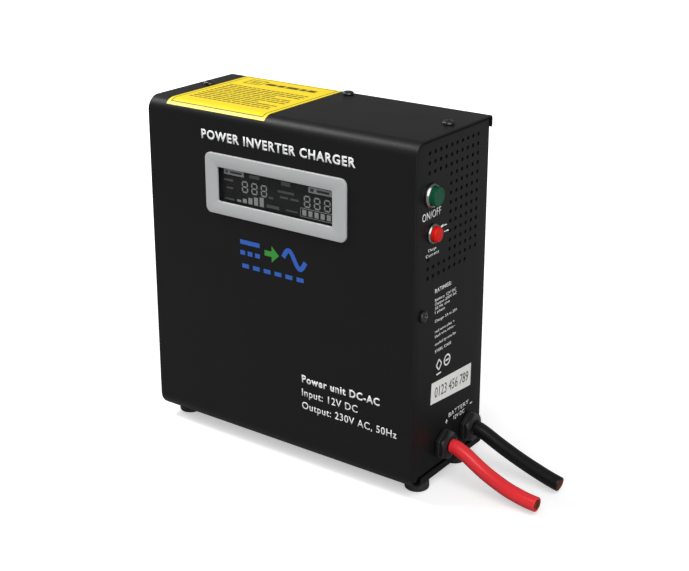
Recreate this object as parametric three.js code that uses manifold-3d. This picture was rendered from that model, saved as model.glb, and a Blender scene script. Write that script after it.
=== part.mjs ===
// A free-standing power inverter with a sheet-steel case, two push-buttons and two battery leads.
// Millimetres, +Z up. X runs along the wide front, Y from the front towards the back.
// Every piece is drawn in case coordinates: the lower left corner of the front is (0, 0, 0) there.
// At the end the whole is moved so that the origin is the middle of its footprint.
import * as THREE from "three";
import { mergeVertices } from "three/addons/utils/BufferGeometryUtils.js";
import Module from "manifold-3d";

const wasm = await Module();
wasm.setup();

// Case
const CASE_W = 220;
const CASE_D = 92;
const CASE_H = 236;
const SHEET = 1.2;
const TOP_BEND = 10;
const BOTTOM_BEND = 12;
const REAR_BEND = 2.5;
const REAR_LIP = 8;
const SIDE_LIP = 4.8;
const GAP = 0.35;

// End panels and rear panel
const PANEL_INSET = 0.8;
const PANEL_FLANGE = 18;
const PANEL_BOTTOM = 6.4;
const TONGUE_ANGLE = 58;
const REAR_PLATE_INSET = 1.5;

// Feet
const FOOT_R = 8.5;
const FOOT_H = 8;
const FOOT_INSET_X = 9;
const FOOT_INSET_Y = 22;

// Screws: head radius, head height, shank radius, shank length
const CASE_SCREW = { headR: 4, headH: 2.4, shankR: 1.9, length: 7 };
const FOOT_SCREW = { headR: 3.6, headH: 2.2, shankR: 1.9, length: 8 };
const FAN_SCREW = { headR: 3.8, headH: 2.2, shankR: 1.9, length: 10 };
const TOP_SCREW_INSET = 10;
const TOP_SCREW_Y = 53;
const REAR_SCREW_FROM_BACK = 8;
const SIDE_SCREW_Y = 11.7;
const SIDE_SCREW_Z = CASE_H - 115.3;

// Display
const BEZEL_R = 4.5;
const BEZEL_T = 1.8;
const BEZEL_COLLAR = 2.6;
const WINDOW_W = 95.5;
const WINDOW_H = 24;
const BEZEL_BORDER_X = 10.7;
const BEZEL_BORDER_Z = 9.2;
const BEZEL_W = WINDOW_W + 2 * BEZEL_BORDER_X;
const BEZEL_H = WINDOW_H + 2 * BEZEL_BORDER_Z;
const DISPLAY_X = CASE_W / 2 + 0.8;
const DISPLAY_Z = CASE_H - 51.8;
const LENS_MARGIN = 3;
const BEZEL_WALL = 1.6;
const LENS_T = 1.5;
const LCD_T = 5;
const DISPLAY_BOARD_W = WINDOW_W + 18;
const DISPLAY_BOARD_H = WINDOW_H + 14;
const BOARD_T = 1.6;

// Push-buttons on the right end: ring, cap and barrel radii, stand-out and travel
const POWER_BUTTON = { y: 19.5, z: CASE_H - 37, ringR: 8, ringT: 2.2, capR: 6.1, capOut: 5.8, barrelR: 7, travel: 3 };
const CURRENT_BUTTON = { y: 22, z: CASE_H - 62.6, ringR: 6.5, ringT: 1.8, capR: 5.1, capOut: 5.2, barrelR: 5.9, travel: 2.5 };
const BARREL_LENGTH = 24;
const CAP_CLEARANCE = 0.35;
const NUT_T = 3;

// Ventilation holes on the right end
const VENT_R = 1.4;
const VENT_PITCH_Y = 6.5;
const VENT_PITCH_Z = 6.3;
const VENT_COLUMNS = 10;
const VENT_ROWS = 14;
const VENT_FIRST_Y = 17;
const VENT_TOP_Z = CASE_H - 9.6;
const VENT_BUTTON_COLUMNS = 4;
const VENT_BUTTON_TOP = CASE_H - 26;
const VENT_BUTTON_BOTTOM = CASE_H - 84;
const VENT_EDGE_BOTTOM = CASE_H - 78;
const VENT_SHORT_COLUMNS = 2;

// Battery leads and their glands
const LEAD_R = 5;
const GLAND_Z = 19.5;
const POSITIVE_Y = 40;
const NEGATIVE_Y = 72;
const GLAND_FLANGE_T = 3;
const GLAND_NUT_T = 3.6;
const GLAND_NOSE_R = LEAD_R + 1.5;
const GLAND_THREAD_R = LEAD_R + 2.5;
const GLAND_FLAT = 2 * GLAND_THREAD_R + 4.5;
const GLAND_THREAD_LENGTH = 9;
const LOCKNUT_FLAT = 2 * GLAND_THREAD_R + 5;
const LOCKNUT_T = 3.5;

// Fan on the left end
const FAN_SIZE = 80;
const FAN_T = 25;
const FAN_Y = 46;
const FAN_TOP_MARGIN = 14;
const FAN_Z = CASE_H - FAN_TOP_MARGIN - FAN_SIZE / 2;
const FAN_BORE_R = FAN_SIZE / 2 - 2;
const FAN_HUB_R = 18;
const FAN_BLADES = 7;
const FAN_BLADE_R = FAN_BORE_R - 1;
const FAN_SCREW_PITCH = FAN_SIZE - 8.5;
const GRILLE_RINGS = [11, 18, 25, 32];
const GRILLE_SLOT = 4;
const GRILLE_BRIDGE = 4;

// Mains outlet, mains inlet and breaker on the left end
const OUTLET_Y = 46;
const OUTLET_Z = 104;
const OUTLET_PLATE_T = 2.5;
const OUTLET_CUP_R = 19.5;
const OUTLET_WALL = 2.8;
const OUTLET_BODY_R = OUTLET_CUP_R + OUTLET_WALL;
const OUTLET_PLATE = 2 * OUTLET_BODY_R + 5.4;
const OUTLET_CUP_DEPTH = 17.5;
const OUTLET_PIN_PITCH = 19;
const OUTLET_PIN_R = 2.6;
const EARTH_PIN_R = 2.4;
const EARTH_PIN_UP = 10;
const EARTH_PIN_LENGTH = 14;
const INLET_Y = 33;
const INLET_Z = 44;
const INLET_CAVITY_W = 24.2;
const INLET_CAVITY_H = 16.8;
const INLET_W = INLET_CAVITY_W + 7.8;
const INLET_H = INLET_CAVITY_H + 11.2;
const INLET_DEPTH = 21;
const BLADE_LENGTH = 12;
const BREAKER_Y = 68;
const BREAKER_Z = 44;
const BREAKER_NECK_R = 5;
const BREAKER_BUTTON_R = 3.2;
const BREAKER_TRIP = 3;

// Transformer
const CORE_X = 88;
const CORE_Y = 46;
const CORE_W = 90;
const CORE_H = 76;
const CORE_STACK = 42;
const LIMB = 15;
const WINDING_OVERHANG = 14;
const STRAP_T = 1.5;
const STRAP_W = 24;
const STRAP_FOOT = 12;

// Main board and what stands on it
const BOARD_X = 36;
const BOARD_W = 168;
const BOARD_Z = 94;
const BOARD_H = 130;
const BOARD_STANDOFF = 5;
const SINK_W = 84;
const SINK_H = 78;
const SINK_D = 34;
const SINK_FINS = 8;
const SINK_FIN_T = 2;
const CAPACITOR_R = 12.5;
const CAPACITOR_LENGTH = 40;

const MATERIALS = {
  coat: new THREE.MeshStandardMaterial({ color: 0x232323, roughness: 0.5, metalness: 0.2 }),
  steel: new THREE.MeshStandardMaterial({ color: 0xb8babd, roughness: 0.35, metalness: 0.9 }),
  blackSteel: new THREE.MeshStandardMaterial({ color: 0x1c1c1e, roughness: 0.35, metalness: 0.7 }),
  rubber: new THREE.MeshStandardMaterial({ color: 0x161616, roughness: 0.85 }),
  greyPlastic: new THREE.MeshStandardMaterial({ color: 0xc2c4c6, roughness: 0.4 }),
  blackPlastic: new THREE.MeshStandardMaterial({ color: 0x18181a, roughness: 0.4 }),
  lens: new THREE.MeshStandardMaterial({ color: 0x30343a, roughness: 0.1, transparent: true, opacity: 0.4 }),
  lcd: new THREE.MeshStandardMaterial({ color: 0x3a3f44, roughness: 0.4 }),
  board: new THREE.MeshStandardMaterial({ color: 0x1c5a33, roughness: 0.5 }),
  green: new THREE.MeshStandardMaterial({ color: 0x14784f, roughness: 0.3 }),
  red: new THREE.MeshStandardMaterial({ color: 0xd8262a, roughness: 0.35 }),
  copper: new THREE.MeshStandardMaterial({ color: 0xa4552c, roughness: 0.4, metalness: 0.8 }),
  brass: new THREE.MeshStandardMaterial({ color: 0xc9a85a, roughness: 0.35, metalness: 0.9 }),
  aluminium: new THREE.MeshStandardMaterial({ color: 0xa9adb1, roughness: 0.5, metalness: 0.8 }),
};

const parts = new THREE.Group();

// A closed geometry as a solid that can be joined and cut.
function solid(geometry) {
  const bare = geometry.clone();
  bare.deleteAttribute("normal");
  bare.deleteAttribute("uv");
  const merged = mergeVertices(bare, 1e-4);
  const vertProperties = new Float32Array(merged.attributes.position.array);
  const triVerts = new Uint32Array(merged.index.array);
  return new wasm.Manifold(new wasm.Mesh({ numProp: 3, vertProperties, triVerts }));
}

// A solid as a geometry with flat faces.
function geometryOf(body) {
  const mesh = body.getMesh();
  const geometry = new THREE.BufferGeometry();
  geometry.setAttribute("position", new THREE.BufferAttribute(mesh.vertProperties, 3));
  geometry.setIndex(new THREE.BufferAttribute(mesh.triVerts, 1));
  const flat = geometry.toNonIndexed();
  flat.computeVertexNormals();
  return flat;
}

function join(bodies) {
  return bodies.reduce((whole, body) => whole.add(body));
}

function addPart(name, body, material) {
  const mesh = new THREE.Mesh(geometryOf(body), MATERIALS[material]);
  mesh.name = name;
  parts.add(mesh);
  return mesh;
}

// Outlines. (u, v) is (y, z) for a prism along X, (x, z) along Y and (x, y) along Z.
function rectangle(u0, v0, u1, v1) {
  return new THREE.Shape([
    new THREE.Vector2(u0, v0),
    new THREE.Vector2(u1, v0),
    new THREE.Vector2(u1, v1),
    new THREE.Vector2(u0, v1),
  ]);
}

function centred(u, v, width, height) {
  return rectangle(u - width / 2, v - height / 2, u + width / 2, v + height / 2);
}

function rounded(u, v, width, height, r) {
  const a = width / 2 - r;
  const b = height / 2 - r;
  const shape = new THREE.Shape();
  shape.absarc(u + a, v + b, r, 0, Math.PI / 2);
  shape.absarc(u - a, v + b, r, Math.PI / 2, Math.PI);
  shape.absarc(u - a, v - b, r, Math.PI, Math.PI * 1.5);
  shape.absarc(u + a, v - b, r, Math.PI * 1.5, Math.PI * 2);
  return shape;
}

function disc(u, v, r, sides, turn = 0) {
  const corners = [];
  for (let i = 0; i < sides; i += 1) {
    const angle = ((i + turn) / sides) * Math.PI * 2;
    corners.push(new THREE.Vector2(u + r * Math.cos(angle), v + r * Math.sin(angle)));
  }
  return new THREE.Shape(corners);
}

// A hexagon with a corner at its top, given by its width across flats.
function hexagon(u, v, flats) {
  return disc(u, v, flats / Math.sqrt(3), 6, 0.5);
}

function extrude(shape, length, arcSteps) {
  return new THREE.ExtrudeGeometry(shape, {
    depth: length,
    bevelEnabled: false,
    steps: 1,
    curveSegments: arcSteps,
  });
}

function prismX(shape, from, to, arcSteps = 6) {
  const turn = new THREE.Matrix4().makeBasis(
    new THREE.Vector3(0, 1, 0),
    new THREE.Vector3(0, 0, 1),
    new THREE.Vector3(1, 0, 0),
  );
  return solid(extrude(shape, to - from, arcSteps).applyMatrix4(turn).translate(from, 0, 0));
}

function prismY(shape, from, to, arcSteps = 6) {
  return solid(extrude(shape, to - from, arcSteps).rotateX(Math.PI / 2).translate(0, to, 0));
}

function prismZ(shape, from, to, arcSteps = 6) {
  return solid(extrude(shape, to - from, arcSteps).translate(0, 0, from));
}

// A turned piece. The profile is (radius, height along the axis), from the axis and back to it.
function turned(profile, sides, axis) {
  const points = profile.map(([r, h]) => new THREE.Vector2(r, h));
  const geometry = new THREE.LatheGeometry(points, sides);
  if (axis === "+z") geometry.rotateX(Math.PI / 2);
  if (axis === "-z") geometry.rotateX(-Math.PI / 2);
  if (axis === "+x") geometry.rotateZ(-Math.PI / 2);
  if (axis === "-x") geometry.rotateZ(Math.PI / 2);
  return geometry;
}

// A pan-head screw whose head stands on (x, y, z) and points along the axis.
function addScrew(name, size, axis, x, y, z) {
  const profile = [
    [0, -size.length],
    [size.shankR, -size.length],
    [size.shankR, 0],
    [size.headR, 0],
    [size.headR, size.headH * 0.45],
    [size.headR * 0.72, size.headH * 0.9],
    [0, size.headH],
  ];
  addPart(name, solid(turned(profile, 10, axis).translate(x, y, z)), "blackSteel");
}

// Wrap-round cover: front, top and bottom in one bent sheet, with lips behind.
function wrapOutline(inset) {
  const front = inset;
  const back = CASE_D - inset;
  const top = CASE_H - inset;
  const bottom = inset;
  const shape = new THREE.Shape();
  shape.moveTo(back, CASE_H - REAR_LIP);
  shape.absarc(CASE_D - REAR_BEND, CASE_H - REAR_BEND, REAR_BEND - inset, 0, Math.PI / 2);
  shape.absarc(TOP_BEND, CASE_H - TOP_BEND, TOP_BEND - inset, Math.PI / 2, Math.PI);
  shape.absarc(BOTTOM_BEND, BOTTOM_BEND, BOTTOM_BEND - inset, Math.PI, Math.PI * 1.5);
  shape.absarc(CASE_D - REAR_BEND, REAR_BEND, REAR_BEND - inset, Math.PI * 1.5, Math.PI * 2);
  shape.lineTo(back, REAR_LIP);
  return { shape, front, top, bottom };
}

function bentSheetOutline() {
  const outer = wrapOutline(0).shape.getPoints(6);
  const inner = wrapOutline(SHEET).shape.getPoints(6).reverse();
  return new THREE.Shape([...outer, ...inner]);
}

const FOOT_PLACES = {
  front_left: [FOOT_INSET_X, FOOT_INSET_Y],
  front_right: [CASE_W - FOOT_INSET_X, FOOT_INSET_Y],
  rear_left: [FOOT_INSET_X, CASE_D - FOOT_INSET_Y],
  rear_right: [CASE_W - FOOT_INSET_X, CASE_D - FOOT_INSET_Y],
};
const TOP_SCREW_PLACES = {
  left: [TOP_SCREW_INSET, TOP_SCREW_Y],
  rear: [CASE_W / 2, CASE_D - REAR_SCREW_FROM_BACK],
  right: [CASE_W - TOP_SCREW_INSET, TOP_SCREW_Y],
};
const SHANK_CLEARANCE = 0.45;

function addCover() {
  let cover = prismX(bentSheetOutline(), 0, CASE_W);
  for (const x of [0, CASE_W - SHEET]) {
    cover = cover.add(prismX(rectangle(BOTTOM_BEND, 0, CASE_D - REAR_BEND, SIDE_LIP), x, x + SHEET));
  }
  const collar = bezelCollarSize();
  const collarHole = centred(DISPLAY_X, DISPLAY_Z, collar.width + GAP * 2, collar.height + GAP * 2);
  cover = cover.subtract(prismY(collarHole, -1, SHEET + 1));
  for (const [x, y] of Object.values(TOP_SCREW_PLACES)) {
    const hole = disc(x, y, CASE_SCREW.shankR + SHANK_CLEARANCE, 10);
    cover = cover.subtract(prismZ(hole, CASE_H - SHEET - 1, CASE_H + 1));
  }
  for (const [x, y] of Object.values(FOOT_PLACES)) {
    cover = cover.subtract(prismZ(disc(x, y, FOOT_SCREW.shankR + SHANK_CLEARANCE, 10), -1, SHEET + 1));
  }
  addPart("cover", cover, "coat");
}

// Outline of an end panel in (y, z). Its front corners follow the cover's bends from inside.
function endPanelOutline(inset) {
  const wall = SHEET + GAP + inset;
  const back = CASE_D - wall;
  const floor = inset > 0 ? -BOTTOM_BEND : PANEL_BOTTOM;
  const tongue = (TONGUE_ANGLE * Math.PI) / 180;
  const r = BOTTOM_BEND - wall;
  const shape = new THREE.Shape();
  shape.moveTo(back, CASE_H - REAR_BEND - wall);
  shape.lineTo(back - REAR_BEND, CASE_H - wall);
  shape.absarc(TOP_BEND, CASE_H - TOP_BEND, TOP_BEND - wall, Math.PI / 2, Math.PI);
  shape.absarc(BOTTOM_BEND, BOTTOM_BEND, r, Math.PI, Math.PI + tongue);
  shape.lineTo(BOTTOM_BEND - SHEET, floor);
  shape.lineTo(back, floor);
  return shape;
}

// A tray: the face, with flanges turned inwards at the front, top and back.
function endPanelTray(faceOut, inwards) {
  const flangeEnd = faceOut + inwards * PANEL_FLANGE;
  const faceIn = faceOut + inwards * SHEET;
  const whole = prismX(endPanelOutline(0), Math.min(faceOut, flangeEnd), Math.max(faceOut, flangeEnd));
  const past = flangeEnd + inwards;
  const hollow = prismX(endPanelOutline(SHEET), Math.min(faceIn, past), Math.max(faceIn, past));
  const notch = rectangle(-1, -1, BOTTOM_BEND + SHEET, BOTTOM_BEND);
  const clear = prismX(notch, Math.min(faceIn, past), Math.max(faceIn, past));
  return whole.subtract(hollow).subtract(clear);
}

const RIGHT_FACE = CASE_W - PANEL_INSET;
const LEFT_FACE = PANEL_INSET;

// Ventilation holes in a square grid that leaves the buttons' corner clear.
function ventPlaces() {
  const places = [];
  for (let column = 0; column < VENT_COLUMNS; column += 1) {
    for (let row = 0; row < VENT_ROWS; row += 1) {
      const z = VENT_TOP_Z - row * VENT_PITCH_Z;
      const bottom = column === 0 ? VENT_EDGE_BOTTOM : VENT_BUTTON_BOTTOM;
      const besideButtons = column < VENT_BUTTON_COLUMNS && z < VENT_BUTTON_TOP && z > bottom;
      const shortened = column >= VENT_COLUMNS - VENT_SHORT_COLUMNS && row === VENT_ROWS - 1;
      if (!besideButtons && !shortened) places.push([VENT_FIRST_Y + column * VENT_PITCH_Y, z]);
    }
  }
  return places;
}

function topScrewHole(place) {
  const hole = disc(place[0], place[1], CASE_SCREW.shankR + SHANK_CLEARANCE, 10);
  return prismZ(hole, CASE_H - 2 * SHEET - 2 * GAP - 1, CASE_H);
}

function addRightPanel() {
  const face = [RIGHT_FACE - SHEET - 1, RIGHT_FACE + 1];
  const holes = ventPlaces().map(([y, z]) => prismX(disc(y, z, VENT_R, 6), ...face));
  for (const button of [POWER_BUTTON, CURRENT_BUTTON]) {
    holes.push(prismX(disc(button.y, button.z, button.barrelR + GAP, 24), ...face));
  }
  for (const y of [POSITIVE_Y, NEGATIVE_Y]) {
    holes.push(prismX(disc(y, GLAND_Z, GLAND_THREAD_R + GAP, 20), ...face));
  }
  holes.push(prismX(disc(SIDE_SCREW_Y, SIDE_SCREW_Z, CASE_SCREW.shankR + SHANK_CLEARANCE, 10), ...face));
  holes.push(topScrewHole(TOP_SCREW_PLACES.right));
  addPart("right_end_panel", endPanelTray(RIGHT_FACE, -1).subtract(join(holes)), "coat");
}

// One arc-shaped slot of the fan grille.
function arcSlot(radius, from, to) {
  const shape = new THREE.Shape();
  shape.absarc(FAN_Y, FAN_Z, radius + GRILLE_SLOT / 2, from, to, false);
  shape.absarc(FAN_Y, FAN_Z, radius - GRILLE_SLOT / 2, to, from, true);
  return shape;
}

function fanScrewPlaces() {
  const half = FAN_SCREW_PITCH / 2;
  return {
    lower_front: [FAN_Y - half, FAN_Z - half],
    lower_rear: [FAN_Y + half, FAN_Z - half],
    upper_front: [FAN_Y - half, FAN_Z + half],
    upper_rear: [FAN_Y + half, FAN_Z + half],
  };
}

function addLeftPanel() {
  const face = [LEFT_FACE - 1, LEFT_FACE + SHEET + 1];
  const holes = [];
  for (const radius of GRILLE_RINGS) {
    const bridge = GRILLE_BRIDGE / radius / 2;
    for (let quarter = 0; quarter < 4; quarter += 1) {
      const start = (quarter + 0.5) * (Math.PI / 2);
      const slot = arcSlot(radius, start + bridge, start + Math.PI / 2 - bridge);
      holes.push(prismX(slot, ...face, 5));
    }
  }
  for (const [y, z] of Object.values(fanScrewPlaces())) {
    holes.push(prismX(disc(y, z, FAN_SCREW.shankR + SHANK_CLEARANCE, 10), ...face));
  }
  holes.push(prismX(disc(OUTLET_Y, OUTLET_Z, OUTLET_BODY_R + GAP, 28), ...face));
  holes.push(prismX(centred(INLET_Y, INLET_Z, INLET_W - 4 + 2 * GAP, INLET_H - 4 + 2 * GAP), ...face));
  holes.push(prismX(disc(BREAKER_Y, BREAKER_Z, BREAKER_NECK_R + GAP, 16), ...face));
  holes.push(prismX(disc(SIDE_SCREW_Y, SIDE_SCREW_Z, CASE_SCREW.shankR + SHANK_CLEARANCE, 10), ...face));
  holes.push(topScrewHole(TOP_SCREW_PLACES.left));
  addPart("left_end_panel", endPanelTray(LEFT_FACE, 1).subtract(join(holes)), "coat");
}

const REAR_PLATE_BACK = CASE_D - 2 * SHEET - 2 * GAP - REAR_PLATE_INSET + SHEET;

function addRearPanel() {
  const side = PANEL_INSET + SHEET + GAP;
  const low = SHEET + GAP;
  const high = CASE_H - SHEET - GAP;
  const shoulder = high - SHEET - GAP - REAR_BEND;
  const front = REAR_PLATE_BACK - SHEET;
  const flangeFrom = side + PANEL_FLANGE;
  let panel = prismY(rectangle(side, low, CASE_W - side, shoulder), front, REAR_PLATE_BACK)
    .add(prismY(rectangle(flangeFrom, shoulder - 1, CASE_W - flangeFrom, high), front, REAR_PLATE_BACK));
  const flange = rectangle(flangeFrom, front - 12, CASE_W - flangeFrom, REAR_PLATE_BACK);
  panel = panel.add(prismZ(flange, high - SHEET, high));
  addPart("rear_panel", panel.subtract(topScrewHole(TOP_SCREW_PLACES.rear)), "coat");
}

function addFeet() {
  const seat = FOOT_SCREW.headH + 1;
  const profile = [
    [FOOT_SCREW.shankR + GAP, -seat + 0.6],
    [FOOT_SCREW.headR + 0.6, -seat + 0.6],
    [FOOT_SCREW.headR + 0.8, -FOOT_H],
    [FOOT_R - 1, -FOOT_H],
    [FOOT_R, -FOOT_H + 1],
    [FOOT_R - 0.6, -GAP],
    [FOOT_SCREW.shankR + GAP, -GAP],
    [FOOT_SCREW.shankR + GAP, -seat + 0.6],
  ];
  for (const [place, [x, y]] of Object.entries(FOOT_PLACES)) {
    addPart(`foot_${place}`, solid(turned(profile, 20, "+z").translate(x, y, 0)), "rubber");
    addScrew(`foot_screw_${place}`, FOOT_SCREW, "-z", x, y, -seat + 0.6 - GAP / 2);
  }
}

function addCaseScrews() {
  for (const [place, [x, y]] of Object.entries(TOP_SCREW_PLACES)) {
    addScrew(`top_screw_${place}`, CASE_SCREW, "+z", x, y, CASE_H + GAP);
  }
  addScrew("side_screw_right", CASE_SCREW, "+x", RIGHT_FACE + GAP, SIDE_SCREW_Y, SIDE_SCREW_Z);
  addScrew("side_screw_left", CASE_SCREW, "-x", LEFT_FACE - GAP, SIDE_SCREW_Y, SIDE_SCREW_Z);
}

// Display: a bezel whose collar passes through the cover, a clear lens, the module and its board.
function bezelCollarSize() {
  const wall = LENS_MARGIN + BEZEL_WALL;
  return { width: WINDOW_W + 2 * wall, height: WINDOW_H + 2 * wall };
}

function addDisplay() {
  const x = DISPLAY_X;
  const z = DISPLAY_Z;
  const collar = bezelCollarSize();
  const seatW = WINDOW_W + 2 * LENS_MARGIN;
  const seatH = WINDOW_H + 2 * LENS_MARGIN;
  const frame = prismY(rounded(x, z, BEZEL_W, BEZEL_H, BEZEL_R), -GAP - BEZEL_T, -GAP)
    .add(prismY(centred(x, z, collar.width, collar.height), -GAP - 0.2, SHEET + BEZEL_COLLAR))
    .subtract(prismY(rounded(x, z, WINDOW_W, WINDOW_H, 1), -GAP - BEZEL_T - 1, SHEET))
    .subtract(prismY(centred(x, z, seatW, seatH), -GAP - 0.4, SHEET + BEZEL_COLLAR + 1));
  addPart("display_bezel", frame, "greyPlastic");
  const lensW = seatW - 2 * GAP;
  const lensH = seatH - 2 * GAP;
  const lensFrom = 0;
  addPart("display_window", prismY(centred(x, z, lensW, lensH), lensFrom, lensFrom + LENS_T), "lens");
  const lcdFrom = lensFrom + LENS_T + GAP;
  addPart("lcd_module", prismY(centred(x, z, lensW, lensH), lcdFrom, lcdFrom + LCD_T), "lcd");
  const boardFrom = lcdFrom + LCD_T + GAP;
  const board = centred(x, z, DISPLAY_BOARD_W, DISPLAY_BOARD_H);
  addPart("display_board", prismY(board, boardFrom, boardFrom + BOARD_T), "board");
}

// A latching push-button: ring outside, cap that travels, barrel through the panel and its nut.
function addButton(name, size, capMaterial, capRounding) {
  const { y, z, ringR, ringT, capR, capOut, barrelR, travel } = size;
  const bore = capR + CAP_CLEARANCE;
  const out = RIGHT_FACE + GAP;
  const ring = prismX(disc(y, z, ringR, 28), out, out + ringT)
    .subtract(prismX(disc(y, z, bore, 28), out - 1, out + ringT + 1));
  addPart(`${name}_ring`, ring, "steel");
  const boreDepth = travel + 4;
  const barrel = prismX(disc(y, z, barrelR, 24), out - GAP - BARREL_LENGTH, out - GAP)
    .subtract(prismX(disc(y, z, bore, 24), out - GAP - boreDepth, out + 1));
  addPart(`${name}_body`, barrel, "blackPlastic");
  const inside = 2.5;
  const profile = [
    [0, -inside],
    [capR, -inside],
    [capR, capOut - capRounding],
    [capR - capRounding * 0.35, capOut - capRounding * 0.3],
    [capR - capRounding, capOut],
    [0, capOut],
  ];
  addPart(`${name}_cap`, solid(turned(profile, 24, "+x").translate(out, y, z)), capMaterial);
  const nutOut = RIGHT_FACE - SHEET - GAP;
  const nut = prismX(hexagon(y, z, 2 * barrelR + 4), nutOut - NUT_T, nutOut)
    .subtract(prismX(disc(y, z, barrelR + GAP, 24), nutOut - NUT_T - 1, nutOut + 1));
  addPart(`${name}_nut`, nut, "steel");
}

// A cable gland: flanged body through the panel, dome nut outside and locknut inside.
function addGland(name, y) {
  const out = RIGHT_FACE + GAP;
  const body = prismX(hexagon(y, GLAND_Z, GLAND_FLAT), out, out + GLAND_FLANGE_T)
    .add(prismX(disc(y, GLAND_Z, GLAND_THREAD_R, 20), out - GLAND_THREAD_LENGTH, out + 1));
  addPart(`${name}_gland_body`, body, "blackPlastic");
  const nutFrom = out + GLAND_FLANGE_T + GAP;
  const corner = GLAND_FLAT / Math.sqrt(3);
  const dome = [
    [0, -1],
    [corner + 1, -1],
    [corner + 1, GLAND_NUT_T * 0.3],
    [corner * 0.9, GLAND_NUT_T * 0.62],
    [GLAND_NOSE_R, GLAND_NUT_T],
    [0, GLAND_NUT_T],
  ];
  const nut = prismX(hexagon(y, GLAND_Z, GLAND_FLAT - 1), nutFrom, nutFrom + GLAND_NUT_T)
    .intersect(solid(turned(dome, 24, "+x").translate(nutFrom, y, GLAND_Z)));
  addPart(`${name}_gland_nut`, nut, "blackPlastic");
  const lockOut = RIGHT_FACE - SHEET - GAP;
  const lock = prismX(hexagon(y, GLAND_Z, LOCKNUT_FLAT), lockOut - LOCKNUT_T, lockOut)
    .subtract(prismX(disc(y, GLAND_Z, GLAND_THREAD_R + GAP, 20), lockOut - LOCKNUT_T - 1, lockOut + 1));
  addPart(`${name}_gland_locknut`, lock, "blackPlastic");
  return nutFrom + GLAND_NUT_T;
}

// Routes of the free leads from the gland's nose: along X, along Y, and up from the floor.
const POSITIVE_ROUTE = [
  [0, 0, 27.5], [1.8, 0, 27.5], [4, -0.05, 27.1], [7, -0.15, 26.1], [11.5, -0.3, 24.2], [15.5, -0.6, 22.1], [20.5, -1, 19.5],
  [26.5, -1.5, 16.7], [32.5, -2, 14.4], [38.5, -2.5, 12.4], [44.5, -3, 10.7], [50.5, -3.4, 9.5], [56.5, -3.8, 8.6],
  [62, -4.1, 8.1], [67, -4.4, 7.9],
];
const NEGATIVE_ROUTE = [
  [0, 0, 27.5], [1.8, 0, 27.5], [4, -0.05, 26.9], [7, -0.1, 25.8], [12, -0.4, 23.8], [17, -0.8, 21.8], [23, -1.2, 19.6],
  [28, -1.6, 17.9], [33, -2, 16.3], [38, -2.4, 14.8], [43, -2.8, 13.4], [48, -3.2, 12.1], [53, -3.5, 10.8],
  [58, -3.8, 9.6], [62.5, -4, 8.6], [67, -4.2, 7.8],
];

function addLead(name, y, noseX, route, material) {
  const points = route.map(([dx, dy, up]) => {
    return new THREE.Vector3(noseX + GAP + dx, y + dy, up - FOOT_H);
  });
  const geometry = new THREE.ExtrudeGeometry(disc(0, 0, LEAD_R, 12), {
    steps: points.length * 2,
    bevelEnabled: false,
    extrudePath: new THREE.CatmullRomCurve3(points),
  });
  return addPart(name, solid(geometry), material);
}

function addBatteryLeads() {
  const positiveNose = addGland("positive", POSITIVE_Y);
  const negativeNose = addGland("negative", NEGATIVE_Y);
  return [
    addLead("positive_lead", POSITIVE_Y, positiveNose, POSITIVE_ROUTE, "red"),
    addLead("negative_lead", NEGATIVE_Y, negativeNose, NEGATIVE_ROUTE, "blackPlastic"),
  ];
}

// Fan: square frame with motor plate and struts, bladed rotor and four screws.
const FAN_FROM = LEFT_FACE + SHEET + GAP;

function addFanFrame() {
  const back = FAN_FROM + FAN_T;
  const plate = back - 2.4;
  let frame = prismX(rounded(FAN_Y, FAN_Z, FAN_SIZE, FAN_SIZE, 5), FAN_FROM, back, 3)
    .subtract(prismX(disc(FAN_Y, FAN_Z, FAN_BORE_R, 32), FAN_FROM - 1, back + 1));
  frame = frame.add(prismX(disc(FAN_Y, FAN_Z, FAN_HUB_R, 20), plate, back));
  frame = frame.add(prismX(centred(FAN_Y, FAN_Z, FAN_BORE_R * 2 + 1, 4), plate, back));
  frame = frame.add(prismX(centred(FAN_Y, FAN_Z, 4, FAN_BORE_R * 2 + 1), plate, back));
  for (const [y, z] of Object.values(fanScrewPlaces())) {
    frame = frame.subtract(prismX(disc(y, z, FAN_SCREW.shankR + SHANK_CLEARANCE, 8), FAN_FROM - 1, back + 1));
  }
  addPart("fan_frame", frame, "blackPlastic");
}

function addFanRotor() {
  const from = FAN_FROM + 2;
  const to = FAN_FROM + FAN_T - 3.2;
  let rotor = prismX(disc(0, 0, FAN_HUB_R, 20), from, to);
  const middle = (from + to) / 2;
  const reach = FAN_BLADE_R - FAN_HUB_R + 3;
  for (let i = 0; i < FAN_BLADES; i += 1) {
    const blade = new THREE.BoxGeometry(to - from - 2, 1.4, reach)
      .translate(0, 0, FAN_BLADE_R - reach / 2)
      .rotateZ(0.7)
      .rotateX((i / FAN_BLADES) * Math.PI * 2)
      .translate(middle, 0, 0);
    rotor = rotor.add(solid(blade));
  }
  addPart("fan_rotor", rotor.translate([0, FAN_Y, FAN_Z]), "blackPlastic");
}

function addFan() {
  addFanFrame();
  addFanRotor();
  for (const [place, [y, z]] of Object.entries(fanScrewPlaces())) {
    addScrew(`fan_screw_${place}`, FAN_SCREW, "-x", LEFT_FACE - GAP, y, z);
  }
}

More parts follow.
